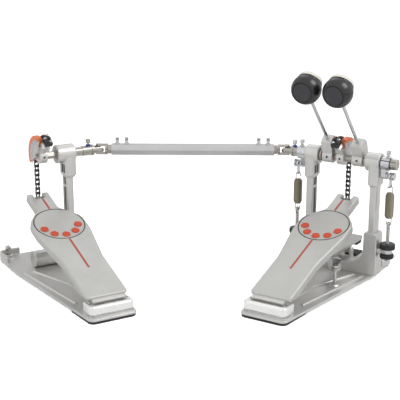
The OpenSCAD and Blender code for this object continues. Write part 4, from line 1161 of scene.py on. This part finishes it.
@dataclass
class Cam:
    """Drive cam: orange insert with a chain groove, ribs on the grey hub, and the chain's clamp."""

    side: Side
    low: float = -25.0
    high: float = 107.0
    outer: float = 35.5
    bore: float = 18.0
    x0: float = -6.5
    x1: float = 11.5
    groove_x: float = 2.5
    groove: float = 4.55
    groove_r: float = 27.2
    side_t: float = 2.2
    rib: float = 0.8
    bands: tuple[tuple[float, float], ...] = ((26.2, 27.8), (18.6, 19.9))
    rails: int = 9
    rail_step: float = 14.0
    rail_inner: float = 19.0
    rail_outer: float = 27.0
    rail_half: float = 0.6
    clamp_low: float = 98.0
    clamp_high: float = 136.0
    screw_r: float = 2.5
    screw_high: float = 2.2
    screw_angles: tuple[float, ...] = (103.5, 116.0, 128.5)
    seat_r: float = 36.2

    def build(self, shop: Workshop) -> None:
        """Makes the insert with its rim, and the ribs and the clamp on the hub.

        Args:
            shop: Dresses the pieces.
        """
        place = LAYOUT.axle(self.side, ALONG_X)
        insert = Shell(f"{self.side.word}_cam_band", place)
        insert.grid(part_turned(self.profile(), self.low, self.high, 56))
        x = self.x1 + 0.1
        rim = [(28.5, x), (35.2, x), (35.2, x + 2.5), (34.6, x + 3), (29, x + 3), (28.5, x + 2.5)]
        insert.grid(part_turned(rim, self.low - 2, self.high + 2, 56))
        shop.dress(insert.mesh(), (ORANGE,), (f"{self.side.word}_cam_insert",))
        ribs = Shell(f"{self.side.word}_cam_ribs", place)
        self.lattice(ribs, self.x0 - self.side_t, -self.rib)
        self.lattice(ribs, self.x1 + self.side_t, self.rib)
        self.clamp(ribs)
        shop.dress(ribs.mesh(), (CAST, CHROME, BLACK_NUT), body=shop.body_of[f"{self.side.word}_cam_hub"])

    def profile(self) -> Levels:
        """Lists the insert's section with its groove.

        Returns:
            Radius and height along the axle, from the bore's near edge to its far one.
        """
        r, x0, x1 = self.outer, self.x0, self.x1
        g0, g1 = self.groove_x - self.groove, self.groove_x + self.groove
        return [
            (self.bore, x0), (r - 1.2, x0), (r - 0.4, x0 + 0.3), (r, x0 + 1.1), (r, g0 - 0.5),
            (r - 0.5, g0), (self.groove_r, g0), (self.groove_r, g1), (r - 0.5, g1), (r, g1 + 0.5),
            (r, x1 - 1.1), (r - 0.4, x1 - 0.3), (r - 1.2, x1), (self.bore, x1),
        ]

    def lattice(self, shell: Shell, face: float, out: float) -> None:
        """Makes the ribs on one face: two bands, and straight rails that zigzag between them.

        Args:
            shell: Where they go.
            face: Where the face lies along the axle.
            out: How far the bands stand out, with the direction's sign.
        """
        for r0, r1 in self.bands:
            high, low, top = face + out, face - out, face + out * 0.7
            band = [(r0, low), (r0, top), (r0 + 0.3, high), (r1 - 0.3, high), (r1, top), (r1, low)]
            shell.grid(part_turned(band, self.low + 1, self.high - 1, 40))
        for k in range(self.rails):
            a0, a1 = np.radians(self.low + 4 + self.rail_step * np.array([k, k + (k % 2) * 2 - 1]))
            start = self.rail_inner * np.array([math.cos(a0), math.sin(a0)])
            end = self.rail_outer * np.array([math.cos(a1), math.sin(a1)])
            along = (end - start) / np.linalg.norm(end - start)
            across = self.rail_half * np.array([-along[1], along[0]])
            rail = [start - across, end - across, end + across, start + across]
            shell.grid(np.stack([np.column_stack([rail, [face + h] * 4]) for h in (-out, out * 0.8)]))

    def clamp(self, shell: Shell) -> None:
        """Makes the anchor's black clamp behind the chain's last link, and its two rows of screws, whose
        hex sockets are flat black discs of painted shade.

        Args:
            shell: Where they go.
        """
        block = [(28.5, -6.9), (35.9, -6.9), (36.4, -6.4), (36.4, 5.7), (36.0, 6.2), (28.5, 6.2)]
        shell.grid(part_turned(block, self.clamp_low, self.clamp_high, 24), mark=2)
        r, high = self.seat_r, self.screw_high
        # A flat black hexagon on each screw's top: painted shade for its hex socket
        socket = turned([(0, high + 0.02), (1.1, high + 0.02), (1.1, high - 0.3), (0, high - 0.3)], 6)
        for k, angle in enumerate(self.screw_angles):
            c, s = math.cos(math.radians(angle)), math.sin(math.radians(angle))
            turn = np.array([[-s, 0, c], [c, 0, s], [0, 1, 0]])
            for x, mark in ((-4.0, 1 + k % 2), (3.4, 2 - k % 2)):
                spot = shell.place.at((r * c, r * s, x), turn)
                shell.rod(self.screw_r, -0.3, high, 0.5, 24, mark, spot)
                shell.grid(socket, mark=2, place=spot)


@dataclass
class Beater:
    """Beater: lacquered head with a flat face, felt pad and steel rod."""

    voice: Voice
    hub_mid: float = 26.8
    lean: float = 42.0
    offset: float = 14.0
    reach: float = 157.0
    head_r: float = 24.0
    felt_r: float = 19.4
    rod_r: float = 2.8
    face_turn: float = 30.0
    felt_edge: float = 3.2
    felt_top: float = 22.8
    felt_wave: float = 0.12

    def build(self, shop: Workshop) -> None:
        """Makes the rod, the felt, and a head of two closed shells that overlap.

        The front shell is the ball from a little behind its middle to the lip that holds the felt. The
        back shell is the rest of the ball with the flat face, which is turned up.

        Args:
            shop: Dresses the pieces.
        """
        x = LAYOUT.cradle_x + self.voice.value * self.hub_mid
        rod_place = LAYOUT.axle(Side.RIGHT).at((x, 0, 0), pitch(self.lean)).at((0, self.offset, 0))
        word = self.voice.word
        rod = Shell(f"{word}_rod", rod_place)
        rod.rod(self.rod_r, 2, self.reach + 8, 0.5)
        shop.dress(rod.mesh(), (CHROME,), (f"{word}_beater_rod",))
        place = rod_place.at((0, 0, self.reach), ALONG_Y)
        head = Shell(f"{word}_head", place)
        lip = [(20.9, 12.6), (20.5, 14.6), (20.2, 15.6), (19.8, 15.8), (19.4, 15.4), (18.4, 11), (0, 11)]
        ball = arc(self.head_r, -9, 28.5, 14)
        head.grid(turned(np.concatenate([[(0, ball[0, 1])], ball, lip]), 72))
        flat = [
            (0, -15.6), (15.0, -15.6), (15.4, -15.0), (15.9, -15.0), (16.2, -15.5), (16.7, -15.9),
            (17.3, -16.0), (17.8, -15.85),
        ]
        ball = arc(self.head_r - 0.03, -41.3, 20, 18)
        profile = np.concatenate([flat, ball, [(0, ball[-1, 1])]])
        marks = (np.arange(len(profile) - 1) == 0).astype(int)
        raised = rod_place.at((0, 0, self.reach), pitch(-self.face_turn) @ ALONG_Y)
        head.grid(turned(profile, 72), mark=marks, place=raised)
        shop.dress(head.mesh(smooth=28), (BLACK_HEAD, BLACK_FACE), (f"{word}_beater_head",))
        self.pad(shop, place)

    def pad(self, shop: Workshop, place: Placement) -> None:
        """Makes the felt, a round pad with a soft edge and a wavering side.

        Args:
            shop: Dresses the piece.
            place: The head's frame, with local z along its axis.
        """

        def waver(angle: Array, radius: Array, height: Array) -> Array:
            """Depth of the side's dents: 0.1 - wave (sin (9 a + h) + sin (23 a - 2 h))."""
            wave = np.sin(9 * angle + height) + np.sin(23 * angle - 2 * height)
            return np.where(radius > 10, 0.1 - self.felt_wave * wave, 0)

        r, top, soft = self.felt_r, self.felt_top, self.felt_edge
        wall = [(0.2, 11.6), (r - 0.3, 11.6), (r, 13), (r, 16), (r, 18.5)]
        edge = arc(soft, 0, 90, 7) + [r - soft, top - soft]
        face = np.stack([np.linspace(15.2, 0.2, 8), top + 0.05 * np.cos(np.linspace(0, 3, 8))], 1)
        felt = Shell(f"{self.voice.word}_felt", place)
        felt.grid(dented(turned(np.concatenate([wall, edge, face]), 96), waver))
        piece = shop.dress(felt.mesh(smooth=60), (FELT,), (f"{self.voice.word}_beater_felt",))


@dataclass
class SpringSet:
    """Return spring with its hooks and its eye bolt."""

    voice: Voice
    line_x: float = 83.5
    coil_r: float = 6.6
    wire_r: float = 0.86
    curls: int = 25
    rise: float = 1.74
    hook_r: float = 4.3
    bend_r: float = 2.6
    eye_z: float = 97.0
    eye_r: float = 4.0
    eye_wire: float = 1.9
    link_z: float = 164.0
    bends: int = 6
    rings: int = 34
    bolt_r: float = 3.0
    bolt_low: float = 35.0
    bolt_high: float = 92.2
    thread: float = 0.3
    thread_pitch: float = 1.25
    thread_end: float = 86.0

    def __post_init__(self) -> None:
        """Sets the frame on the spring's line; the slave side is mirrored as in the source."""
        mirror = np.diag([float(self.voice.value), 1.0, 1.0])
        self.place = LAYOUT.pedal(Side.RIGHT).at((LAYOUT.cradle_x, 0, 0), mirror).at((self.line_x, 0, 0))

    def wire(self) -> tuple[Array, Array]:
        """Works out the wire's centre line and the vectors across it.

        The coil is (r cos a, r sin a, z), with a and z growing evenly and r easing from the hooks'
        radius over the first and last curls. Each hook bends up, rises and runs round a ring.

        Returns:
            The points and the side vectors, both of shape (n, 3).
        """
        height = self.curls * self.rise
        first = math.asin(self.bend_r / self.hook_r)
        f = np.linspace(0, 1, self.curls * 24 + 1)
        a = first + f * (TAU * self.curls - 2 * first)
        e = np.minimum(f, 1 - f) * self.curls / 2.5
        r = self.hook_r + (self.coil_r - self.hook_r) * np.clip(e, 0, 1)
        coil = np.stack([r * np.cos(a), r * np.sin(a), (f - 0.5) * height], 1)
        radial = np.stack([np.cos(a), np.sin(a), 0 * a], 1)
        lift = (self.link_z - self.eye_z - height) / 2 - self.hook_r - self.bend_r
        x0 = self.hook_r * math.cos(first)
        t = np.linspace(0, 1, self.bends + 1)[1:]
        b = t * math.pi / 2
        sunk, risen = self.bend_r * (1 - np.sin(b)), self.bend_r * (1 - np.cos(b))
        bend = np.stack([x0 + (self.hook_r - x0) * t, -sunk, height / 2 + risen], 1)
        c = np.radians(np.linspace(0, 190, self.rings))
        base = height / 2 + self.bend_r + lift
        ring = np.stack([self.hook_r * np.cos(c), 0 * c, base + self.hook_r * np.sin(c)], 1)
        tip = ring[-1] + 2 * self.wire_r * np.array([-math.sin(c[-1]), 0, math.cos(c[-1])])
        hook = np.concatenate([bend, ring, [tip]])
        across = np.tile([0.0, -1.0, 0.0], (len(hook), 1))
        across[:self.bends] = radial[-1] * (1 - t[:, None]) + across[:self.bends] * t[:, None]
        flip = np.array([1, -1, -1])
        path = np.concatenate([(hook * flip)[::-1], coil, hook])
        side = np.concatenate([(across * flip)[::-1], radial, across])
        return path + [0, 0, (self.link_z + self.eye_z) / 2], side

    def build(self, shop: Workshop) -> None:
        """Makes the spring, which runs from the eye bolt to the link, and its bolt.

        Args:
            shop: Dresses the pieces.
        """
        word = self.voice.word
        path, side = self.wire()
        shell = Shell(f"{word}_coil_spring", self.place)
        hook = self.bends + self.rings + 1
        marks = np.zeros(len(path) - 1, int)
        marks[:hook], marks[-hook:] = 1, 1
        shell.grid(swept(path, side, self.wire_r, 12), mark=marks)
        piece = shop.dress(shell.mesh(smooth=60), (SPRING, HOOK), (f"{word}_spring",), None)
        ends = [tuple(self.place.world(np.array([0, 0, z]))) for z in (self.eye_z + 6, self.link_z - 6)]
        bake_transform(piece)
        self.bolt(shop)

    def bolt(self, shop: Workshop) -> None:
        """Makes the eye bolt, a threaded rod with a ring.

        Args:
            shop: Dresses the piece.
        """

        def groove(angle: Array, _: Array, height: Array) -> Array:
            """Depth thread (0.5 + 0.5 cos (a - 2 pi h / pitch)), which fades out below the ring."""
            wave = 0.5 + 0.5 * np.cos(angle - TAU * height / self.thread_pitch)
            return self.thread * wave * smooth_step((self.thread_end - height) / 2)

        shell = Shell(f"{self.voice.word}_tension_bolt", self.place)
        z = np.arange(self.bolt_low, self.bolt_high, 0.25)
        shell.grid(dented(turned(np.stack([np.full(len(z), self.bolt_r), z], 1), 20), groove))
        a = np.linspace(0, TAU, 41)[:, None]
        b = np.linspace(0, TAU, 14, endpoint=False)[None]
        r = self.eye_r + self.eye_wire * np.cos(b)
        ring = [self.eye_wire * np.sin(b) + 0 * a, r * np.cos(a), self.eye_z + r * np.sin(a)]
        shell.grid(np.stack(ring, axis=2), caps=False)
        shop.dress(shell.mesh(), (STEEL,), (f"{self.voice.word}_eye_bolt",))


@dataclass
class SpringNuts:
    """The four knurled nuts on the spring ears, with a bright band and a thin wire clip."""

    radius: float = 13.0
    bore_r: float = 3.1
    knurl: float = 0.45
    ear_low: float = 48.0
    ear_high: float = 55.0
    upper: float = 10.0
    lower: float = 8.0

    def build(self, shop: Workshop) -> None:
        """Makes a nut above and below each ear, with the washer and the clip between.

        Args:
            shop: Dresses the piece.
        """
        places = [SpringSet(voice).place for voice in Voice]
        shell = Shell("knurled_nuts", places[0])
        for place in places:
            z1, r1, b = self.ear_high + 0.2, self.radius, self.bore_r
            self.nut(shell, place.at((0, 0, z1)), r1, self.upper)
            self.nut(shell, place.at((0, 0, self.ear_low - self.lower - 0.2)), r1 - 1.5, self.lower)
            washer = [(b, z1 - 0.1), (r1 - 1.2, z1 - 0.1), (r1 - 0.5, z1 + 0.3), (r1 - 0.5, z1 + 1.1)]
            washer += [(b, z1 + 1.1), washer[0]]
            shell.grid(turned(washer, 64), caps=False, mark=1, place=place)
            self.clip(shell, place)
        shop.dress(shell.mesh(), (BLACK_NUT, CHROME), ("right_spring_nuts",))

    def nut(self, shell: Shell, place: Placement, r: float, high: float) -> None:
        """Makes one nut with a knurled side and plain chamfers.

        Args:
            shell: Where it goes.
            place: Frame at its foot.
            r: Its radius.
            high: Its height.
        """

        def cut(angle: Array, radius: Array, _: Array) -> Array:
            """Depth of the knurls on the widest part: knurl cos^2 (20 a)."""
            return np.where(radius > r - 0.1, self.knurl * np.cos(20 * angle) ** 2, 0)

        foot = [(self.bore_r, 0), (r - 1.6, 0), (r - 0.9, 0.3), (r - 0.8, 1.2), (r, 1.6)]
        top = [(x, high - h) for x, h in foot[::-1]]
        grid = turned([*foot, (r, high / 2), *top, foot[0]], 160)
        shell.grid(dented(grid, cut), caps=False, place=place)

    def clip(self, shell: Shell, place: Placement) -> None:
        """Makes the bent wire that hangs from the ear beside the nuts.

        Args:
            shell: Where it goes.
            place: The spring's frame.
        """
        knots = [
            (8, 0, 47.6), (13.2, 0, 47.2), (13.8, 0, 46.4), (13.8, 0, 37), (13.2, -1, 36), (9, -6, 35.6),
        ]
        t = np.linspace(0, len(knots) - 1, 40)
        path = np.stack([np.interp(t, np.arange(len(knots)), axis) for axis in np.transpose(knots)], 1)
        shell.grid(swept(path, np.array([0.3, 1.0, 0.2]), 0.5, 8), mark=1, place=place)


@dataclass
class KeyBolts:
    """Square-headed key bolts, each with a collar and a threaded neck on a round foot."""

    half: float = 3.0
    foot_r: float = 3.8
    neck_r: float = 2.2
    thread: float = 0.2
    thread_pitch: float = 0.75
    tube_x: tuple[float, ...] = (-129, -113, 113, 129)

    def one(self, shell: Shell, place: Placement, foot: int = 0) -> None:
        """Makes one bolt standing on a seat.

        Args:
            shell: Where it goes.
            place: Frame on the seat, local z along the bolt.
            foot: Finish of its round foot.
        """
        shell.rod(self.foot_r, 0, 2.5, mark=foot, place=place)
        z = np.arange(2.3, 5.7, 0.15)
        neck = self.neck_r - self.thread * (z / self.thread_pitch % 1 < 0.5)
        shell.grid(turned(np.stack([neck, z], 1), 20), place=place)
        head = box_corners(-self.half, self.half, -self.half, self.half, 0.8)
        levels = [(5.5, 0.9), (5.5, 0.4), (5.8, 0), (10.6, 0), (11.4, 0.35), (11.9, 1.1), (12.0, 1.8)]
        shell.grid(slab(head, levels, 4), place=place)
        collar = [(2.1, 4.9), (3.4, 5.0), (3.5, 5.3), (3.3, 5.6), (2.1, 5.6), (2.1, 4.9)]
        shell.grid(turned(collar, 24), caps=False, place=place)

    def build(self, shop: Workshop) -> None:
        """Makes the bolts of the rockers, the yoke and the drive tube, and the left yoke's ring.

        A bolt is placed by its distance along the axis, its seat's height and the finish of its foot.

        Args:
            shop: Dresses the pieces.
        """
        axle, shaft = LAYOUT.axle(Side.RIGHT), LAYOUT.shaft()
        for name, place, spots, finishes, node in (
            ("main_rocker_bolt", axle, ((84.5, 10, 0),), (CHROME,), "main_key_bolts"),
            ("slave_side_bolts", axle, ((-70.5, 10, 0), (-84.5, 7.5, 1)), (CHROME, BLUE),
             "slave_key_bolts"),
            ("tube_bolts", shaft, [(x, 9, 0) for x in self.tube_x], (CHROME,), "drive_key_bolts"),
        ):
            shell = Shell(name, place)
            for x, z, foot in spots:
                self.one(shell, place.at((x, 0, z)), foot)
            shop.dress(shell.mesh(), finishes, (node,))
        left = Shell("left_yoke_ring", LAYOUT.axle(Side.LEFT).at((-80, 0, 7.5)))
        ring = [(2.4, 0.4), (4.1, 0.4), (4.2, 0.8), (4.2, 2.2), (3.9, 2.7), (2.4, 2.7), (2.4, 0.4)]
        left.grid(turned(ring, 28), caps=False)
        shop.dress(left.mesh(), (BLUE,), body=shop.body_of["left_axle"])


@dataclass
class PostSlots:
    """Painted shade: dark strips in the posts' grooves and in the slots of the housings' tongues."""

    SPANS = ((5.8, 4.13, 83, 141.8), (5.8, 4.13, 146.2, 159.8), (8.7, 7.71, 166.3, 182.7))
    POSTS = {Side.RIGHT: ((64.5, -1), (-50.5, 1)), Side.LEFT: ((-41.0, 1),)}
    # Thickness of each strip of painted shade
    ridge_half: float = 0.7
    paint: float = 0.2

    def build(self, shop: Workshop) -> None:
        """Makes two thin strips of painted shade in each groove, with a bright ridge left between them.

        A span gives a groove's half width, its floor's distance from the post's axis and its two ends;
        a post is given by its place across the pedal and the side that its groove faces.

        Args:
            shop: Dresses the pieces.
        """
        for side, spots in self.POSTS.items():
            shell = Shell(f"{side.word}_groove_lining", LAYOUT.pedal(side))
            for x, facing in spots:
                for half, floor, z0, z1 in self.SPANS:
                    x0, x1 = sorted((x + facing * floor, x + facing * (floor - self.paint)))
                    for y0, y1 in ((-half, -self.ridge_half), (self.ridge_half, half)):
                        shell.grid(slab(box_corners(x0, x1, y0, y1, 0.05), [(z0, 0), (z1, 0)], 2))
            shop.dress(shell.mesh(), (GROOVE_SHADE_AND_BLACK,), body=f"{side.word}_frame")


class Studio:
    """White room: floor, world, lamps and the photograph's camera."""

    PHOTO_PX = 400
    SENSOR = 36.0
    FLOOR_HALF = 6.0
    FLOOR_GLOW = 0.58
    SKY = 0.5
    ROOM = 0.85
    ROOM_FALL = {"X": 1.6, "Z": 1.3}
    BEHIND = 0.45

    def build(self) -> None:
        """Makes the camera, the floor, the world and the lamps."""
        self.camera((0.04258, -1.57729, 0.60546), -1.11, 16.24, 1019.65)
        self.floor()
        self.world()
        self.lamp("key", (-0.9, -1.3, 1.9), (0.0, 0.0, 0.15), 1.2, 17.5, mirrored=False)
        self.lamp("side", (1.5, -0.3, 1.8), (0.2, 0.0, 0.3), 1.0, 14.0)
        self.lamp("back", (0.3, 1.7, 1.6), (0.0, 0.0, 0.2), 1.2, 4.0)

    def camera(self, place: Corner, heading: float, tilt: float, focal_px: float) -> None:
        """Makes the camera.

        Args:
            place: Its place in metres.
            heading: Turn from the Y axis towards X, in degrees.
            tilt: Downward tilt in degrees.
            focal_px: Focal length in pixels of the photograph.
        """
        data = bpy.data.cameras.new("photo_camera")
        data.sensor_width = self.SENSOR
        data.lens = focal_px / self.PHOTO_PX * self.SENSOR
        data.clip_start, data.clip_end = 0.05, 20.0
        cam = linked("photo_camera", data)
        cam.location = place
        cam.rotation_euler = (math.radians(90 - tilt), 0, math.radians(-heading))
        bpy.context.scene.camera = cam

    def floor(self) -> None:
        """Makes the floor, white to the camera, which still takes a shadow."""
        mesh = bpy.data.meshes.new("floor")
        r = self.FLOOR_HALF
        mesh.from_pydata([(-r, -r, 0), (r, -r, 0), (r, r, 0), (-r, r, 0)], [], [(0, 1, 2, 3)])
        obj = linked("floor", mesh)
        mat = bpy.data.materials.new("floor_white")
        mat.use_nodes = True
        tree = mat.node_tree
        path = tree.nodes.new("ShaderNodeLightPath").outputs
        glow = math_node(tree, "MULTIPLY", path["Is Camera Ray"], self.FLOOR_GLOW)
        feed(tree, tree.nodes["Principled BSDF"], {
            "Base Color": (0.9, 0.9, 0.9, 1), "Roughness": 0.9, "Specular IOR Level": 0.0,
            "Emission Color": (1, 1, 1, 1), "Emission Strength": glow,
        })
        mesh.materials.append(mat)

    def world(self) -> None:
        """Makes the sky: plain light on the object, white to the camera and in most reflections.

        Reflections see a dim studio behind the camera: a share ROOM (-y) (1 - fall |x|) (1 - fall |z|)
        of the white is missing in a direction (x, y, z), each factor being held between 0 and 1, and a
        share BEHIND y behind the object, so that round pieces have darker edges.
        """
        world = bpy.data.worlds.new("white_room")
        bpy.context.scene.world = world
        world.use_nodes = True
        tree = world.node_tree
        path = tree.nodes.new("ShaderNodeLightPath").outputs
        coords = tree.nodes.new("ShaderNodeTexCoord").outputs["Generated"]
        split = feed(tree, tree.nodes.new("ShaderNodeSeparateXYZ"), {0: coords}).outputs
        seen = math_node(tree, "ADD", path["Is Camera Ray"], path["Is Glossy Ray"], clamp=True)
        seen = math_node(tree, "ADD", seen, path["Is Transmission Ray"], clamp=True)
        dark = math_node(tree, "MULTIPLY", split["Y"], -self.ROOM, clamp=True)
        for axis, fall in self.ROOM_FALL.items():
            off = math_node(tree, "MULTIPLY", math_node(tree, "ABSOLUTE", split[axis], 0.0), fall)
            dark = math_node(tree, "MULTIPLY", dark, math_node(tree, "SUBTRACT", 1.0, off, clamp=True))
        behind = math_node(tree, "MULTIPLY", split["Y"], self.BEHIND, clamp=True)
        dark = math_node(tree, "ADD", dark, behind)
        dark = math_node(tree, "MULTIPLY", dark, path["Is Glossy Ray"])
        seen = math_node(tree, "MULTIPLY", seen, 1 - self.SKY)
        strength = math_node(tree, "SUBTRACT", math_node(tree, "ADD", seen, self.SKY), dark)
        feed(tree, tree.nodes["Background"], {"Color": (1, 1, 1, 1), "Strength": strength})

    def lamp(
        self, name: str, place: Corner, aim: Corner, size: float, power: float, mirrored: bool = True
    ) -> None:
        """Makes a square area lamp that points at a place.

        Args:
            name: Its name.
            place: Where it hangs, in metres.
            aim: What it points at.
            size: Its side in metres.
            power: Its power in watts.
            mirrored: It shows in reflections.
        """
        data = bpy.data.lights.new(name, "AREA")
        data.size, data.energy = size, power
        obj = linked(name, data)
        obj.location = place
        obj.visible_glossy = mirrored
        x, y, z = np.array(place) - np.array(aim)
        obj.rotation_euler = (math.atan2(math.hypot(x, y), z), 0, math.atan2(x, -y))


# Castings: node ending, voxel in millimetres and smoothing rounds
CASTINGS: dict[str, tuple[float, int]] = {
    "cradle": (0.9, 5),
    "housings": (0.7, 6),
    "housing": (0.7, 6),
    "cross_bar": (0.9, 5),
    "base_plate": (1.1, 2),
    "beater_hub": (0.5, 2),
}
# Other nodes: ending, finish and width of the rounded edges in millimetres
SOFTENED: dict[str, tuple[Finish, float]] = {
    "base_pads": (RUBBER, 0.5),
    "posts": (CAST, 0.5),
    "post": (CAST, 0.5),
    "bearings": (STEEL, 0.4),
    "spurs": (STEEL, 0.3),
    "cam_hub": (CAST, 0.5),
    "toe_pin": (STEEL, 0.1),
    "axle": (NICKEL, 0.3),
    "rocker": (CHROME, 0.4),
    "spring_link": (CHROME, 0.2),
    "lever": (LEVER, 0.8),
    "jaw_pad": (RUBBER, 0.5),
    "screw": (CHROME, 0.3),
    "tube": (TUBE, 0.3),
    "rod_right": (NICKEL, 0.3),
    "rod_left": (NICKEL, 0.3),
    "cross": (STEEL, 0.3),
}


def dress_packed(shop: Workshop) -> None:
    """Gives every node that no class has replaced its casting or its rounded edges.

    Args:
        shop: Dresses the pieces.
    """
    for node in shop.nodes:
        if node in shop.done:
            continue
        castings = [key for key in CASTINGS if node.endswith(key)]
        if castings:
            shop.cast(node, CAST, *CASTINGS[castings[0]])
            continue
        ending = max((key for key in SOFTENED if node.endswith(key)), key=len)
        shop.softened(node, *SOFTENED[ending])


def main() -> None:
    """Builds the camera and the room, then dresses each sub-assembly in order."""
    logging.basicConfig(level=logging.INFO)
    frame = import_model()
    Studio().build()
    bpy.context.scene.view_settings.view_transform = "Standard"
    shop = Workshop(frame)
    for side in Side:
        for kind in (Footboard, HeelBlock, Chain, Cam):
            kind(side).build(shop)
    for voice in Voice:
        Beater(voice).build(shop)
        SpringSet(voice).build(shop)
    for kind in (SpringNuts, KeyBolts, PostSlots):
        kind().build(shop)
    dress_packed(shop)


if __name__ == "__main__":
    main()
